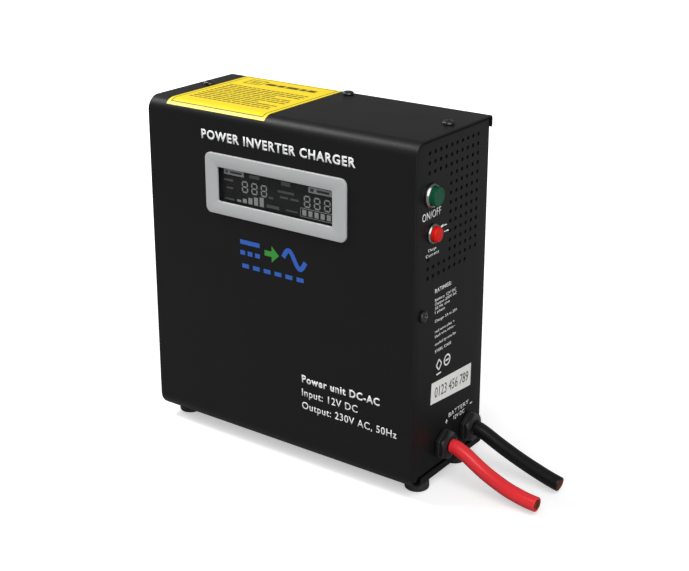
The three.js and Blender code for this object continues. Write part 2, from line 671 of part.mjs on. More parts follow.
// Mains outlet: a round cup with two pin holes and a standing earth pin.
function addOutlet() {
  const face = LEFT_FACE - GAP - OUTLET_PLATE_T;
  const floor = face + OUTLET_CUP_DEPTH;
  const back = floor + 5;
  const body = prismX(rounded(OUTLET_Y, OUTLET_Z, OUTLET_PLATE, OUTLET_PLATE, 5), face, LEFT_FACE - GAP, 3)
    .add(prismX(disc(OUTLET_Y, OUTLET_Z, OUTLET_BODY_R, 28), LEFT_FACE - GAP - 0.5, back))
    .subtract(prismX(disc(OUTLET_Y, OUTLET_Z, OUTLET_CUP_R, 28), face - 1, floor))
    .subtract(prismX(disc(OUTLET_Y - OUTLET_PIN_PITCH / 2, OUTLET_Z, OUTLET_PIN_R, 12), floor - 1, back + 1))
    .subtract(prismX(disc(OUTLET_Y + OUTLET_PIN_PITCH / 2, OUTLET_Z, OUTLET_PIN_R, 12), floor - 1, back + 1))
    .subtract(prismX(disc(OUTLET_Y, OUTLET_Z + EARTH_PIN_UP, EARTH_PIN_R + GAP, 12), floor - 1, back + 1));
  addPart("mains_outlet", body, "blackPlastic");
  const pin = [
    [0, -EARTH_PIN_LENGTH],
    [EARTH_PIN_R * 0.5, -EARTH_PIN_LENGTH],
    [EARTH_PIN_R, -EARTH_PIN_LENGTH + 1.5],
    [EARTH_PIN_R, back - floor],
    [0, back - floor],
  ];
  const placed = turned(pin, 12, "+x").translate(floor, OUTLET_Y, OUTLET_Z + EARTH_PIN_UP);
  addPart("outlet_earth_pin", solid(placed), "brass");
}

// Mains inlet: a framed cavity, closed behind by the plate that carries its three blades.
function addInlet() {
  const face = LEFT_FACE - GAP - 2;
  const back = face + INLET_DEPTH;
  const body = prismX(rounded(INLET_Y, INLET_Z, INLET_W, INLET_H, 2), face, LEFT_FACE - GAP, 3)
    .add(prismX(centred(INLET_Y, INLET_Z, INLET_W - 4, INLET_H - 4), LEFT_FACE - GAP - 0.5, back))
    .subtract(prismX(centred(INLET_Y, INLET_Z, INLET_CAVITY_W, INLET_CAVITY_H), face - 1, back + 1));
  addPart("mains_inlet", body, "blackPlastic");
  const carrier = centred(INLET_Y, INLET_Z, INLET_CAVITY_W - 2 * GAP, INLET_CAVITY_H - 2 * GAP);
  let contacts = prismX(carrier, back - 4, back);
  for (const [dy, dz] of [[-7, -2], [0, 2], [7, -2]]) {
    const blade = centred(INLET_Y + dy, INLET_Z + dz, 2, 4);
    contacts = contacts.add(prismX(blade, back - 4 - BLADE_LENGTH, back + 4));
  }
  addPart("inlet_contacts", contacts, "brass");
}

// Breaker: its reset button stands out further when it has tripped.
function addBreaker() {
  const face = LEFT_FACE - GAP - 3;
  const back = LEFT_FACE + SHEET + GAP;
  const body = prismX(disc(BREAKER_Y, BREAKER_Z, BREAKER_NECK_R, 16), face, back + 1)
    .add(prismX(centred(BREAKER_Y, BREAKER_Z, 16, 30), back, back + 26))
    .subtract(prismX(disc(BREAKER_Y, BREAKER_Z, BREAKER_BUTTON_R + CAP_CLEARANCE, 16), face - 1, back + 6));
  addPart("breaker_body", body, "blackPlastic");
  const collar = prismX(disc(BREAKER_Y, BREAKER_Z, BREAKER_NECK_R + 3, 20), face + 0.6, LEFT_FACE - GAP)
    .subtract(prismX(disc(BREAKER_Y, BREAKER_Z, BREAKER_NECK_R + GAP, 16), face, LEFT_FACE));
  addPart("breaker_nut", collar, "steel");
  const button = [
    [0, -(BREAKER_TRIP + 3)],
    [BREAKER_BUTTON_R, -(BREAKER_TRIP + 3)],
    [BREAKER_BUTTON_R, 1.8],
    [BREAKER_BUTTON_R - 0.8, 2.6],
    [0, 2.6],
  ];
  addPart("breaker_button", solid(turned(button, 16, "-x").translate(face, BREAKER_Y, BREAKER_Z)), "red");
}

// Transformer: a core with two windows, one winding round its middle limb and a strap to the floor.
function addTransformer() {
  const low = SHEET + GAP;
  const high = low + CORE_H;
  const windowW = (CORE_W - 4 * LIMB) / 2;
  const windowH = CORE_H - 2 * LIMB;
  const middle = low + CORE_H / 2;
  const side = LIMB + windowW / 2;
  const core = prismY(centred(CORE_X, middle, CORE_W, CORE_H), CORE_Y - CORE_STACK / 2, CORE_Y + CORE_STACK / 2)
    .subtract(prismY(centred(CORE_X - side, middle, windowW, windowH), 0, CASE_D))
    .subtract(prismY(centred(CORE_X + side, middle, windowW, windowH), 0, CASE_D));
  addPart("transformer_core", core, "blackSteel");
  const outerW = 2 * LIMB + 2 * windowW - 2 * GAP;
  const outerD = CORE_STACK + 2 * WINDING_OVERHANG;
  const winding = prismZ(rounded(CORE_X, CORE_Y, outerW, outerD, 8), middle - windowH / 2 + GAP, middle + windowH / 2 - GAP, 4)
    .subtract(prismZ(centred(CORE_X, CORE_Y, 2 * LIMB + 2 * GAP, CORE_STACK + 2 * GAP), low, high));
  addPart("transformer_winding", winding, "copper");
  const reach = CORE_W / 2 + GAP + STRAP_T;
  const strap = prismY(rectangle(CORE_X - reach, low, CORE_X + reach, high + GAP + STRAP_T), CORE_Y - STRAP_W / 2, CORE_Y + STRAP_W / 2)
    .subtract(prismY(rectangle(CORE_X - reach + STRAP_T, low - 1, CORE_X + reach - STRAP_T, high + GAP), 0, CASE_D))
    .add(prismY(rectangle(CORE_X - reach - STRAP_FOOT, low, CORE_X - reach + STRAP_T, low + STRAP_T), CORE_Y - STRAP_W / 2, CORE_Y + STRAP_W / 2))
    .add(prismY(rectangle(CORE_X + reach - STRAP_T, low, CORE_X + reach + STRAP_FOOT, low + STRAP_T), CORE_Y - STRAP_W / 2, CORE_Y + STRAP_W / 2));
  addPart("transformer_strap", strap, "steel");
}

// Main board on the rear panel, with its heatsink, capacitors, relay and battery posts.
function addElectronics() {
  const boardBack = REAR_PLATE_BACK - SHEET - BOARD_STANDOFF;
  const boardFront = boardBack - BOARD_T;
  const stands = [];
  for (const x of [BOARD_X + 6, BOARD_X + BOARD_W - 6]) {
    for (const z of [BOARD_Z + 6, BOARD_Z + BOARD_H - 6]) {
      stands.push(prismY(disc(x, z, 3, 8), boardBack - 0.5, boardBack + BOARD_STANDOFF - GAP));
    }
  }
  const plate = prismY(rectangle(BOARD_X, BOARD_Z, BOARD_X + BOARD_W, BOARD_Z + BOARD_H), boardFront, boardBack);
  addPart("main_board", join([plate, ...stands]), "board");

  const front = boardFront - GAP;
  const sinkX = BOARD_X + 14;
  const sinkZ = BOARD_Z + BOARD_H - SINK_H - 10;
  const pitch = (SINK_W - SINK_FIN_T) / (SINK_FINS - 1);
  const bars = [prismZ(rectangle(sinkX, front - 4, sinkX + SINK_W, front), sinkZ, sinkZ + SINK_H)];
  for (let i = 0; i < SINK_FINS; i += 1) {
    const x = sinkX + i * pitch;
    bars.push(prismZ(rectangle(x, front - SINK_D, x + SINK_FIN_T, front - 3), sinkZ, sinkZ + SINK_H));
  }
  addPart("heatsink", join(bars), "aluminium");

  const postX = BOARD_X + BOARD_W - 20;
  for (const [name, z] of [["upper", BOARD_Z + 104], ["lower", BOARD_Z + 74]]) {
    const can = disc(sinkX + SINK_W + 24, z, CAPACITOR_R, 18);
    addPart(`capacitor_${name}`, prismY(can, front - CAPACITOR_LENGTH, front), "blackPlastic");
  }
  addPart("relay", prismY(centred(sinkX + SINK_W + 22, BOARD_Z + 42, 28, 20), front - 16, front), "blackPlastic");
  for (const [name, z] of [["positive", BOARD_Z + 18], ["negative", BOARD_Z + 40]]) {
    addPart(`${name}_post`, prismY(disc(postX, z, 4, 12), front - 14, front), "brass");
  }
}

// Moves everything so that the origin is the middle of the footprint, on the surface it stands on.
function centreOnFootprint(leads) {
  const box = new THREE.Box3();
  for (const mesh of parts.children) {
    if (!leads.includes(mesh)) box.expandByObject(mesh);
  }
  parts.position.set(-(box.min.x + box.max.x) / 2, -(box.min.y + box.max.y) / 2, -box.min.z);
}

addCover();
addRightPanel();
addLeftPanel();
addRearPanel();
addFeet();
addCaseScrews();
addDisplay();
addButton("power_button", POWER_BUTTON, "green", 0.5);
addButton("current_button", CURRENT_BUTTON, "red", 1.6);
const leads = addBatteryLeads();
addFan();
addOutlet();
addInlet();
addBreaker();
addTransformer();
addElectronics();
centreOnFootprint(leads);

const inverter = new THREE.Group();
inverter.add(parts);

export default inverter;
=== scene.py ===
"""Looks of a free-standing power inverter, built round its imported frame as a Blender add-on."""

from math import ceil, cos, hypot, pi, radians, sin, sqrt

import bmesh
import bpy
from bpy.props import FloatProperty, FloatVectorProperty, IntProperty, PointerProperty
from mathutils import Matrix, Vector


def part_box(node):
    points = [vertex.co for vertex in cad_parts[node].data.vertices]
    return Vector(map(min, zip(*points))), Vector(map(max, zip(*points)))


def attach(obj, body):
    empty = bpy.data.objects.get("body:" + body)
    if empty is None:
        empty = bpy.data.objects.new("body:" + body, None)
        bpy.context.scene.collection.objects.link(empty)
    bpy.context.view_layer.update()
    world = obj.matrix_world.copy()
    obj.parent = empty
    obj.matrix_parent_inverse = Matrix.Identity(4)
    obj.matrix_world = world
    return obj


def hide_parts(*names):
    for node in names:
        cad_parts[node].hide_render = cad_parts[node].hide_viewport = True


bl_info = {
    "name": "Power Inverter",
    "version": (1, 0, 0),
    "blender": (4, 5, 0),
    "location": "View3D > Sidebar > Inverter",
    "description": "Builds the case, controls, sockets and leads of a power inverter",
    "category": "Object",
}

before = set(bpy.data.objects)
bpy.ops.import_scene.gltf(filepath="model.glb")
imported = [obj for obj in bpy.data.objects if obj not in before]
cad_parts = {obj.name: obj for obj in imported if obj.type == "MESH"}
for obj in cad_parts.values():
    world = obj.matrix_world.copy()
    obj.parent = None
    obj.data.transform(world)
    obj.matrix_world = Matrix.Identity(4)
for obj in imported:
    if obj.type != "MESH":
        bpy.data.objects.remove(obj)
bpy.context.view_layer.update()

# Sizes are in millimetres in case coordinates: the cover's lower front left corner is (0, 0, 0).
MM = 0.001
CASE_LOW, CASE_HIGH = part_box("cover")
WIDTH, DEPTH, HEIGHT = (round(side / MM, 3) for side in CASE_HIGH - CASE_LOW)
TO_ROW = Matrix.Translation(CASE_LOW) @ Matrix.Diagonal((MM, MM, MM, 1))
FLOOR = -CASE_LOW.z / MM

SHEET = 1.2
TOP_BEND = 10.0
BOTTOM_BEND = 12.0
REAR_BEND = 2.5
REAR_LIP = 8.0
CLEARANCE = 0.35
FLANGE = 18.0
TONGUE = 58.0      # degrees of the bottom bend that an end panel's front tongue follows
SCREW_HOLE_R = 2.35
INK_WELD = 0.0005  # merging distance of thin printed shapes


def case_box(node):
    """A CAD node's lowest and highest corners in case coordinates."""
    low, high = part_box(node)
    return (low - CASE_LOW) / MM, (high - CASE_LOW) / MM


def middle(node):
    low, high = case_box(node)
    return (low + high) / 2


RIGHT_FACE = case_box("right_end_panel")[1].x
LEFT_FACE = case_box("left_end_panel")[0].x
PANEL_BOTTOM = 6.4


# ---------------------------------------------------------------- shapes


class Shape:
    """A mesh in case coordinates that grows by lofts, turned pieces and slabs."""

    def __init__(self):
        self.mesh = bmesh.new()

    def loft(self, rings, closed=True, ends=True, ring_closed=True):
        """Skins rings of points. closed joins the last ring to the first, ends caps them."""
        rows = [[self.mesh.verts.new(point) for point in ring] for ring in rings]
        pairs = list(zip(rows, rows[1:]))
        if closed:
            pairs.append((rows[-1], rows[0]))
        count = len(rows[0])
        for one, two in pairs:
            for i in range(count if ring_closed else count - 1):
                j = (i + 1) % count
                self.mesh.faces.new((one[i], one[j], two[j], two[i]))
        if ends and not closed:
            self.mesh.faces.new(rows[0][::-1])
            self.mesh.faces.new(rows[-1])
        return self

    def turn(self, profile, centre, axis, sides=48):
        """Turns (radius, height) points round an axis, "x", "-x", "y", "z" or "-z"."""
        rings = []
        for i in range(sides):
            angle = 2 * pi * i / sides
            rings.append([along(axis, r * cos(angle), r * sin(angle), h, centre) for r, h in profile])
        return self.loft(rings, closed=True, ring_closed=False)

    def slab(self, outline, low, high, axis):
        """A prism of an outline of (u, v) points between two heights along an axis."""
        rings = [[along(axis, u, v, h, (0, 0, 0)) for u, v in outline] for h in (low, high)]
        return self.loft(rings, closed=False)

    def drill(self, radius, centre, axis, sides=20, up=4):
        """A round tool through a sheet, from 4 mm before the centre."""
        return self.turn([(0, -4), (radius, -4), (radius, up), (0, up)], centre, axis, sides)

    def face(self, points):
        self.mesh.faces.new([self.mesh.verts.new(point) for point in points])
        return self

    def made(self, name, outwards=True, weld=0.002):
        """The finished mesh object, in the row frame."""
        bmesh.ops.remove_doubles(self.mesh, verts=self.mesh.verts, dist=weld)
        bmesh.ops.dissolve_degenerate(self.mesh, edges=self.mesh.edges, dist=weld)
        if outwards:
            bmesh.ops.recalc_face_normals(self.mesh, faces=self.mesh.faces)
        bmesh.ops.transform(self.mesh, matrix=TO_ROW, verts=self.mesh.verts)
        data = bpy.data.meshes.new(name)
        self.mesh.to_mesh(data)
        self.mesh.free()
        piece = bpy.data.objects.new(name, data)
        bpy.context.scene.collection.objects.link(piece)
        return piece


def along(axis, u, v, h, centre):
    """(u, v) across an axis and h along it. u, v are (y, z) for x, (x, z) for y and (x, y) for z."""
    sign = -1 if axis.startswith("-") else 1
    h *= sign
    x, y, z = centre
    if axis[-1] == "x":
        return (x + h, y + u, z + v)
    if axis[-1] == "y":
        return (x + u, y + h, z + v)
    return (x + u, y + v, z + h)


def arc(u, v, r, start, stop, count):
    angles = [radians(start + (stop - start) * i / (count - 1)) for i in range(count)]
    return [(u + r * cos(a), v + r * sin(a)) for a in angles]


def rounded(u, v, width, height, r, count=8):
    """A rectangle with round corners, anticlockwise from its right side."""
    a, b = width / 2 - r, height / 2 - r
    points = arc(u + a, v + b, r, 0, 90, count)
    points += arc(u - a, v + b, r, 90, 180, count)
    points += arc(u - a, v - b, r, 180, 270, count)
    return points + arc(u + a, v - b, r, 270, 360, count)


def hexagon(u, v, flats, round_off=0.8):
    """A hexagon with corners at top and bottom, each a short arc."""
    points = []
    reach = flats / sqrt(3) - round_off * 2 / sqrt(3)
    for i in range(6):
        angle = 30 + 60 * i
        corner = (u + reach * cos(radians(angle)), v + reach * sin(radians(angle)))
        points += arc(*corner, round_off, angle - 30, angle + 30, 4)
    return points


def rectangle(u0, v0, u1, v1):
    return [(u0, v0), (u1, v0), (u1, v1), (u0, v1)]


# ---------------------------------------------------------------- finishing


def smooth(piece, angle=32):
    data = piece.data
    for polygon in data.polygons:
        polygon.use_smooth = True
    data.set_sharp_from_angle(angle=radians(angle))
    return piece


def bevelled(piece, width, segments=2, angle=35):
    """A live bevel of that width in millimetres on every edge sharper than the angle."""
    for polygon in piece.data.polygons:
        polygon.use_smooth = True
    bevel = piece.modifiers.new("Edge rounding", "BEVEL")
    bevel.width = width * MM
    bevel.segments = segments
    bevel.limit_method = "ANGLE"
    bevel.angle_limit = radians(angle)
    bevel.harden_normals = True
    return piece


def plain(piece):
    """Turns what the modifiers make into the piece's own mesh."""
    graph = bpy.context.evaluated_depsgraph_get()
    data = bpy.data.meshes.new_from_object(piece.evaluated_get(graph))
    piece.modifiers.clear()
    piece.data = data
    return piece


def thickened(piece, wall):
    solidify = piece.modifiers.new("Sheet", "SOLIDIFY")
    solidify.thickness = wall * MM
    solidify.offset = -1
    solidify.use_even_offset = True
    return plain(piece)


def combined(piece, tool, operation):
    """Joins or cuts a piece with another shape, which is used up."""
    boolean = piece.modifiers.new("Cut", "BOOLEAN")
    boolean.operation = operation
    boolean.solver = "EXACT"
    boolean.object = tool
    plain(piece)
    bpy.data.objects.remove(tool)
    return piece


def placed(piece, body, slot, material, *nodes):
    """Gives a piece its body and material, and hides the CAD nodes that it stands for. The slot is not used."""
    if material is not None:
        piece.data.materials.clear()
        piece.data.materials.append(material)
    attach(piece, body)
    if nodes:
        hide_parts(*nodes)
    return piece


def repaint(material, *nodes):
    for node in nodes:
        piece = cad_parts[node]
        piece.data.materials.clear()
        piece.data.materials.append(material)


# ---------------------------------------------------------------- materials


def socket(node, name, value):
    node.inputs[name].default_value = value


def finish(name, colour, roughness, metallic=0.0, grain=0.5, depth=0.01, mottle=0.08, patch=11.0,
           spread=0.05, stretch=(1, 1, 1), waves=None, **constants):
    """A moulded, painted or metal finish: patchy colour and gloss, and a fine grain, all in millimetres.

    waves is (axis, pitch, depth, darkness) for laminations, turns of wire or ribs.
    """
    material = bpy.data.materials.get(name)
    if material:
        return material
    material = bpy.data.materials.new(name)
    material.use_nodes = True
    nodes, links = material.node_tree.nodes, material.node_tree.links
    nodes.clear()
    output = nodes.new("ShaderNodeOutputMaterial")
    shader = nodes.new("ShaderNodeBsdfPrincipled")
    links.new(shader.outputs[0], output.inputs[0])
    socket(shader, "Metallic", metallic)
    for key, value in constants.items():
        socket(shader, key.replace("_", " "), value)
    place = nodes.new("ShaderNodeTexCoord")
    mapping = nodes.new("ShaderNodeMapping")
    mapping.inputs["Scale"].default_value = stretch
    links.new(place.outputs["Object"], mapping.inputs["Vector"])
    cloud = nodes.new("ShaderNodeTexNoise")
    socket(cloud, "Scale", 1000 / patch)
    socket(cloud, "Detail", 4.0)
    links.new(mapping.outputs[0], cloud.inputs["Vector"])
    fine = nodes.new("ShaderNodeTexNoise")
    socket(fine, "Scale", 1000 / grain)
    socket(fine, "Detail", 2.0)
    links.new(mapping.outputs[0], fine.inputs["Vector"])
    tint = nodes.new("ShaderNodeMix")
    tint.data_type = "RGBA"
    tint.inputs[6].default_value = [c * (1 - mottle) for c in colour] + [1]
    tint.inputs[7].default_value = [min(1, c * (1 + mottle)) for c in colour] + [1]
    links.new(cloud.outputs["Fac"], tint.inputs[0])
    shade = tint.outputs[2]
    height = fine.outputs["Fac"]
    if waves:
        axis, pitch, wave_depth, darkness = waves
        bands = nodes.new("ShaderNodeTexWave")
        bands.bands_direction = axis
        socket(bands, "Scale", 2 * pi / pitch * 1000 / 20)
        socket(bands, "Distortion", 0.4)
        links.new(place.outputs["Object"], bands.inputs["Vector"])
        dark = nodes.new("ShaderNodeMix")
        dark.data_type = "RGBA"
        dark.blend_type = "MULTIPLY"
        dark.inputs[0].default_value = darkness
        links.new(shade, dark.inputs[6])
        links.new(bands.outputs["Color"], dark.inputs[7])
        shade = dark.outputs[2]
        ribs = nodes.new("ShaderNodeBump")
        socket(ribs, "Distance", wave_depth * MM)
        links.new(bands.outputs["Fac"], ribs.inputs["Height"])
    links.new(shade, shader.inputs["Base Color"])
    gloss = nodes.new("ShaderNodeMapRange")
    socket(gloss, "To Min", max(0.02, roughness - spread))
    socket(gloss, "To Max", min(1.0, roughness + spread))
    links.new(cloud.outputs["Fac"], gloss.inputs["Value"])
    links.new(gloss.outputs[0], shader.inputs["Roughness"])
    bump = nodes.new("ShaderNodeBump")
    socket(bump, "Distance", depth * MM)
    links.new(height, bump.inputs["Height"])
    if waves:
        links.new(ribs.outputs[0], bump.inputs["Normal"])
    links.new(bump.outputs[0], shader.inputs["Normal"])
    return material


def powder_coat():
    settings = bpy.context.scene.inverter_case
    return finish("black powder coat", settings.coat_colour, settings.coat_roughness, grain=settings.coat_grain / MM,
                  depth=0.012, mottle=0.16, patch=28, spread=0.05, Specular_IOR_Level=0.17)


def black_nylon():
    return finish("black moulded nylon", (0.011, 0.011, 0.012), 0.3, grain=0.6, depth=0.008, mottle=0.2, patch=5)


def nickel():
    return finish("nickel-plated steel", (0.33, 0.33, 0.325), 0.23, metallic=1.0, grain=0.25, depth=0.003,
                  mottle=0.05, patch=3, stretch=(4, 1, 1))


def black_oxide():
    return finish("black-oxidised screw steel", (0.075, 0.075, 0.078), 0.27, metallic=0.9, grain=0.3, depth=0.006,
                  mottle=0.3, patch=2)


def zinc():
    return finish("zinc-plated steel", (0.56, 0.57, 0.58), 0.38, metallic=1.0, grain=0.5, depth=0.006, mottle=0.1)


def brass():
    return finish("plain brass", (0.72, 0.5, 0.2), 0.28, metallic=1.0, grain=0.4, depth=0.004, mottle=0.08, patch=4)


def rubber():
    return finish("moulded rubber", (0.02, 0.02, 0.02), 0.72, grain=0.7, depth=0.05, mottle=0.2, patch=4)


def print_ink():
    colour = bpy.context.scene.inverter_labels.print_colour
    return finish("white screen print", colour, 0.5, grain=0.3, depth=0.004, mottle=0.03, patch=4)


def label_ink(name, colour):
    return finish(f"{name} label print", colour, 0.5, grain=0.3, depth=0.002, mottle=0.1, patch=5)


def cap_moulding(slot, colour, **constants):
    return finish(f"{slot.replace('_', ' ')} moulding", colour, 0.34, grain=0.5, depth=0.006, mottle=0.06, patch=4,
                  **constants)


# ---------------------------------------------------------------- node trees


class Tree:
    """A geometry node tree with named inputs."""

    def __init__(self, name, **inputs):
        self.tree = bpy.data.node_groups.new(name, "GeometryNodeTree")
        face = self.tree.interface
        face.new_socket("Geometry", in_out="OUTPUT", socket_type="NodeSocketGeometry")
        face.new_socket("Geometry", in_out="INPUT", socket_type="NodeSocketGeometry")
        for key, kind in inputs.items():
            face.new_socket(key.replace("_", " "), in_out="INPUT", socket_type="NodeSocket" + kind)
        face.new_socket("Material", in_out="INPUT", socket_type="NodeSocketMaterial")
        self.start = self.add("NodeGroupInput")
        self.end = self.add("NodeGroupOutput")

    def add(self, kind, links=None, **settings):
        """A node. settings whose names are inputs of the node are set there, others on the node."""
        node = self.tree.nodes.new(kind)
        for key, value in settings.items():
            if hasattr(node, key):
                setattr(node, key, value)
            else:
                node.inputs[key.replace("_", " ")].default_value = value
        for key, source in (links or {}).items():
            self.tree.links.new(source, node.inputs[key])
        return node

    def given(self, key):
        return self.start.outputs[key]

    def sum(self, operation, *values, kind="ShaderNodeMath"):
        node = self.tree.nodes.new(kind)
        node.operation = operation
        for slot, value in zip(node.inputs, values):
            if isinstance(value, bpy.types.NodeSocket):
                self.tree.links.new(value, slot)
            else:
                slot.default_value = value
        return node.outputs[0]

    def close(self, geometry):
        """Ends the tree in real geometry with its material."""
        real = self.add("GeometryNodeRealizeInstances", {0: geometry})
        painted = self.add("GeometryNodeSetMaterial", {"Geometry": real.outputs[0],
                                                       "Material": self.given("Material")})
        self.tree.links.new(painted.outputs[0], self.end.inputs[0])
        return self

    def run(self, piece, material, **values):
        """Runs the tree on a piece with these inputs, and keeps the result as a plain mesh."""
        modifier = piece.modifiers.new(self.tree.name, "NODES")
        modifier.node_group = self.tree
        wanted = {key.replace("_", " "): value for key, value in values.items()}
        wanted["Material"] = material
        for item in self.tree.interface.items_tree:
            if item.item_type == "SOCKET" and item.in_out == "INPUT" and item.name in wanted:
                modifier[item.identifier] = wanted[item.name]
        bpy.context.view_layer.update()
        return plain(piece)


def perforation_tree():
    """A square grid of round holes through a sheet that faces +X, with a clear field and a short edge."""
    tree = Tree("Perforated sheet", Columns="Int", Rows="Int", Pitch_back="Float", Pitch_up="Float",
                Hole_radius="Float", First_hole="Vector", Clear_low="Vector", Clear_high="Vector",
                Short_from="Float")
    given = tree.given
    size_y = tree.sum("MULTIPLY", given("Pitch back"), tree.sum("SUBTRACT", given("Columns"), 1))
    size_z = tree.sum("MULTIPLY", given("Pitch up"), tree.sum("SUBTRACT", given("Rows"), 1))
    grid = tree.add("GeometryNodeMeshGrid", {"Size X": size_y, "Size Y": size_z,
                                             "Vertices X": given("Columns"), "Vertices Y": given("Rows")})
    turned = tree.add("GeometryNodeTransform", {"Geometry": grid.outputs[0]}, Rotation=(pi / 2, 0, pi / 2))
    half = tree.add("ShaderNodeCombineXYZ", {"Y": tree.sum("MULTIPLY", size_y, 0.5),
                                             "Z": tree.sum("MULTIPLY", size_z, 0.5)})
    corner = tree.sum("ADD", given("First hole"), half.outputs[0], kind="ShaderNodeVectorMath")
    moved = tree.add("GeometryNodeTransform", {"Geometry": turned.outputs[0], "Translation": corner})
    place = tree.add("ShaderNodeSeparateXYZ", {0: tree.add("GeometryNodeInputPosition").outputs[0]})
    low = tree.add("ShaderNodeSeparateXYZ", {0: given("Clear low")})
    high = tree.add("ShaderNodeSeparateXYZ", {0: given("Clear high")})
    first = tree.add("ShaderNodeSeparateXYZ", {0: given("First hole")})
    at_edge = tree.sum("LESS_THAN", place.outputs["Y"], tree.sum("ADD", first.outputs["Y"], 1.0 * MM))
    raised = tree.sum("MULTIPLY_ADD", at_edge, given("Pitch up"), low.outputs["Z"])
    clear = tree.sum("MULTIPLY", tree.sum("GREATER_THAN", place.outputs["Z"], raised),
                     tree.sum("LESS_THAN", place.outputs["Z"], high.outputs["Z"]))
    clear = tree.sum("MULTIPLY", clear, tree.sum("LESS_THAN", place.outputs["Y"], high.outputs["Y"]))
    lowest = tree.sum("LESS_THAN", place.outputs["Z"], tree.sum("ADD", first.outputs["Z"], 1.0 * MM))
    short = tree.sum("MULTIPLY", lowest, tree.sum("GREATER_THAN", place.outputs["Y"], given("Short from")))
    gone = tree.sum("GREATER_THAN", tree.sum("ADD", clear, short), 0.5)
    kept = tree.add("GeometryNodeDeleteGeometry", {"Geometry": moved.outputs[0], "Selection": gone}, domain="POINT")
    drill = tree.add("GeometryNodeMeshCylinder", {"Radius": given("Hole radius")}, Vertices=18, Depth=6 * MM)
    copies = tree.add("GeometryNodeInstanceOnPoints", {"Points": kept.outputs[0], "Instance": drill.outputs[0]},
                      Rotation=(0, pi / 2, 0))
    drills = tree.add("GeometryNodeRealizeInstances", {0: copies.outputs[0]})
    cut = tree.add("GeometryNodeMeshBoolean", operation="DIFFERENCE", solver="EXACT")
    tree.tree.links.new(given("Geometry"), cut.inputs["Mesh 1"])
    tree.tree.links.new(drills.outputs[0], cut.inputs["Mesh 2"])
    return tree.close(cut.outputs[0])


def copies_tree():
    """Copies of a piece on points, turned to face along each point's normal, with a seeded spin."""
    tree = Tree("Copies on points", Piece="Object", Spin_seed="Int", Spin="Float")
    piece = tree.add("GeometryNodeObjectInfo", {"Object": tree.given("Piece")})
    facing = tree.add("GeometryNodeInputNamedAttribute", data_type="FLOAT_VECTOR", Name="facing")
    turn = tree.add("FunctionNodeAlignRotationToVector", {"Vector": facing.outputs[0]}, axis="Z")
    spin = tree.add("FunctionNodeRandomValue", {"Seed": tree.given("Spin seed")}, data_type="FLOAT")
    angle = tree.sum("MULTIPLY", spin.outputs[1], tree.given("Spin"))
    about = tree.add("ShaderNodeCombineXYZ", {"Z": angle})
    both = tree.add("FunctionNodeRotateRotation", {"Rotation": turn.outputs[0], "Rotate By": about.outputs[0]},
                    rotation_space="LOCAL")
    copies = tree.add("GeometryNodeInstanceOnPoints", {"Points": tree.given("Geometry"),
                                                       "Instance": piece.outputs["Geometry"],
                                                       "Rotation": both.outputs[0]})
    return tree.close(copies.outputs[0])


def ring_tree():
    """Copies of a piece, spaced evenly round the X axis through a centre."""
    tree = Tree("Ring of blades", Blade="Object", Blades="Int", Centre="Vector")
    blade = tree.add("GeometryNodeObjectInfo", {"Object": tree.given("Blade")})
    line = tree.add("GeometryNodeMeshLine", {"Count": tree.given("Blades")}, Offset=(0, 0, 0))
    step = tree.sum("DIVIDE", 2 * pi, tree.given("Blades"))
    angle = tree.sum("MULTIPLY", tree.add("GeometryNodeInputIndex").outputs[0], step)
    turn = tree.add("ShaderNodeCombineXYZ", {"X": angle})
    copies = tree.add("GeometryNodeInstanceOnPoints", {"Points": line.outputs[0],
                                                       "Instance": blade.outputs["Geometry"],
                                                       "Rotation": turn.outputs[0]})
    moved = tree.add("GeometryNodeTransform", {"Geometry": copies.outputs[0], "Translation": tree.given("Centre")})
    both = tree.add("GeometryNodeJoinGeometry")
    tree.tree.links.new(moved.outputs[0], both.inputs[0])
    tree.tree.links.new(tree.given("Geometry"), both.inputs[0])
    return tree.close(both.outputs[0])


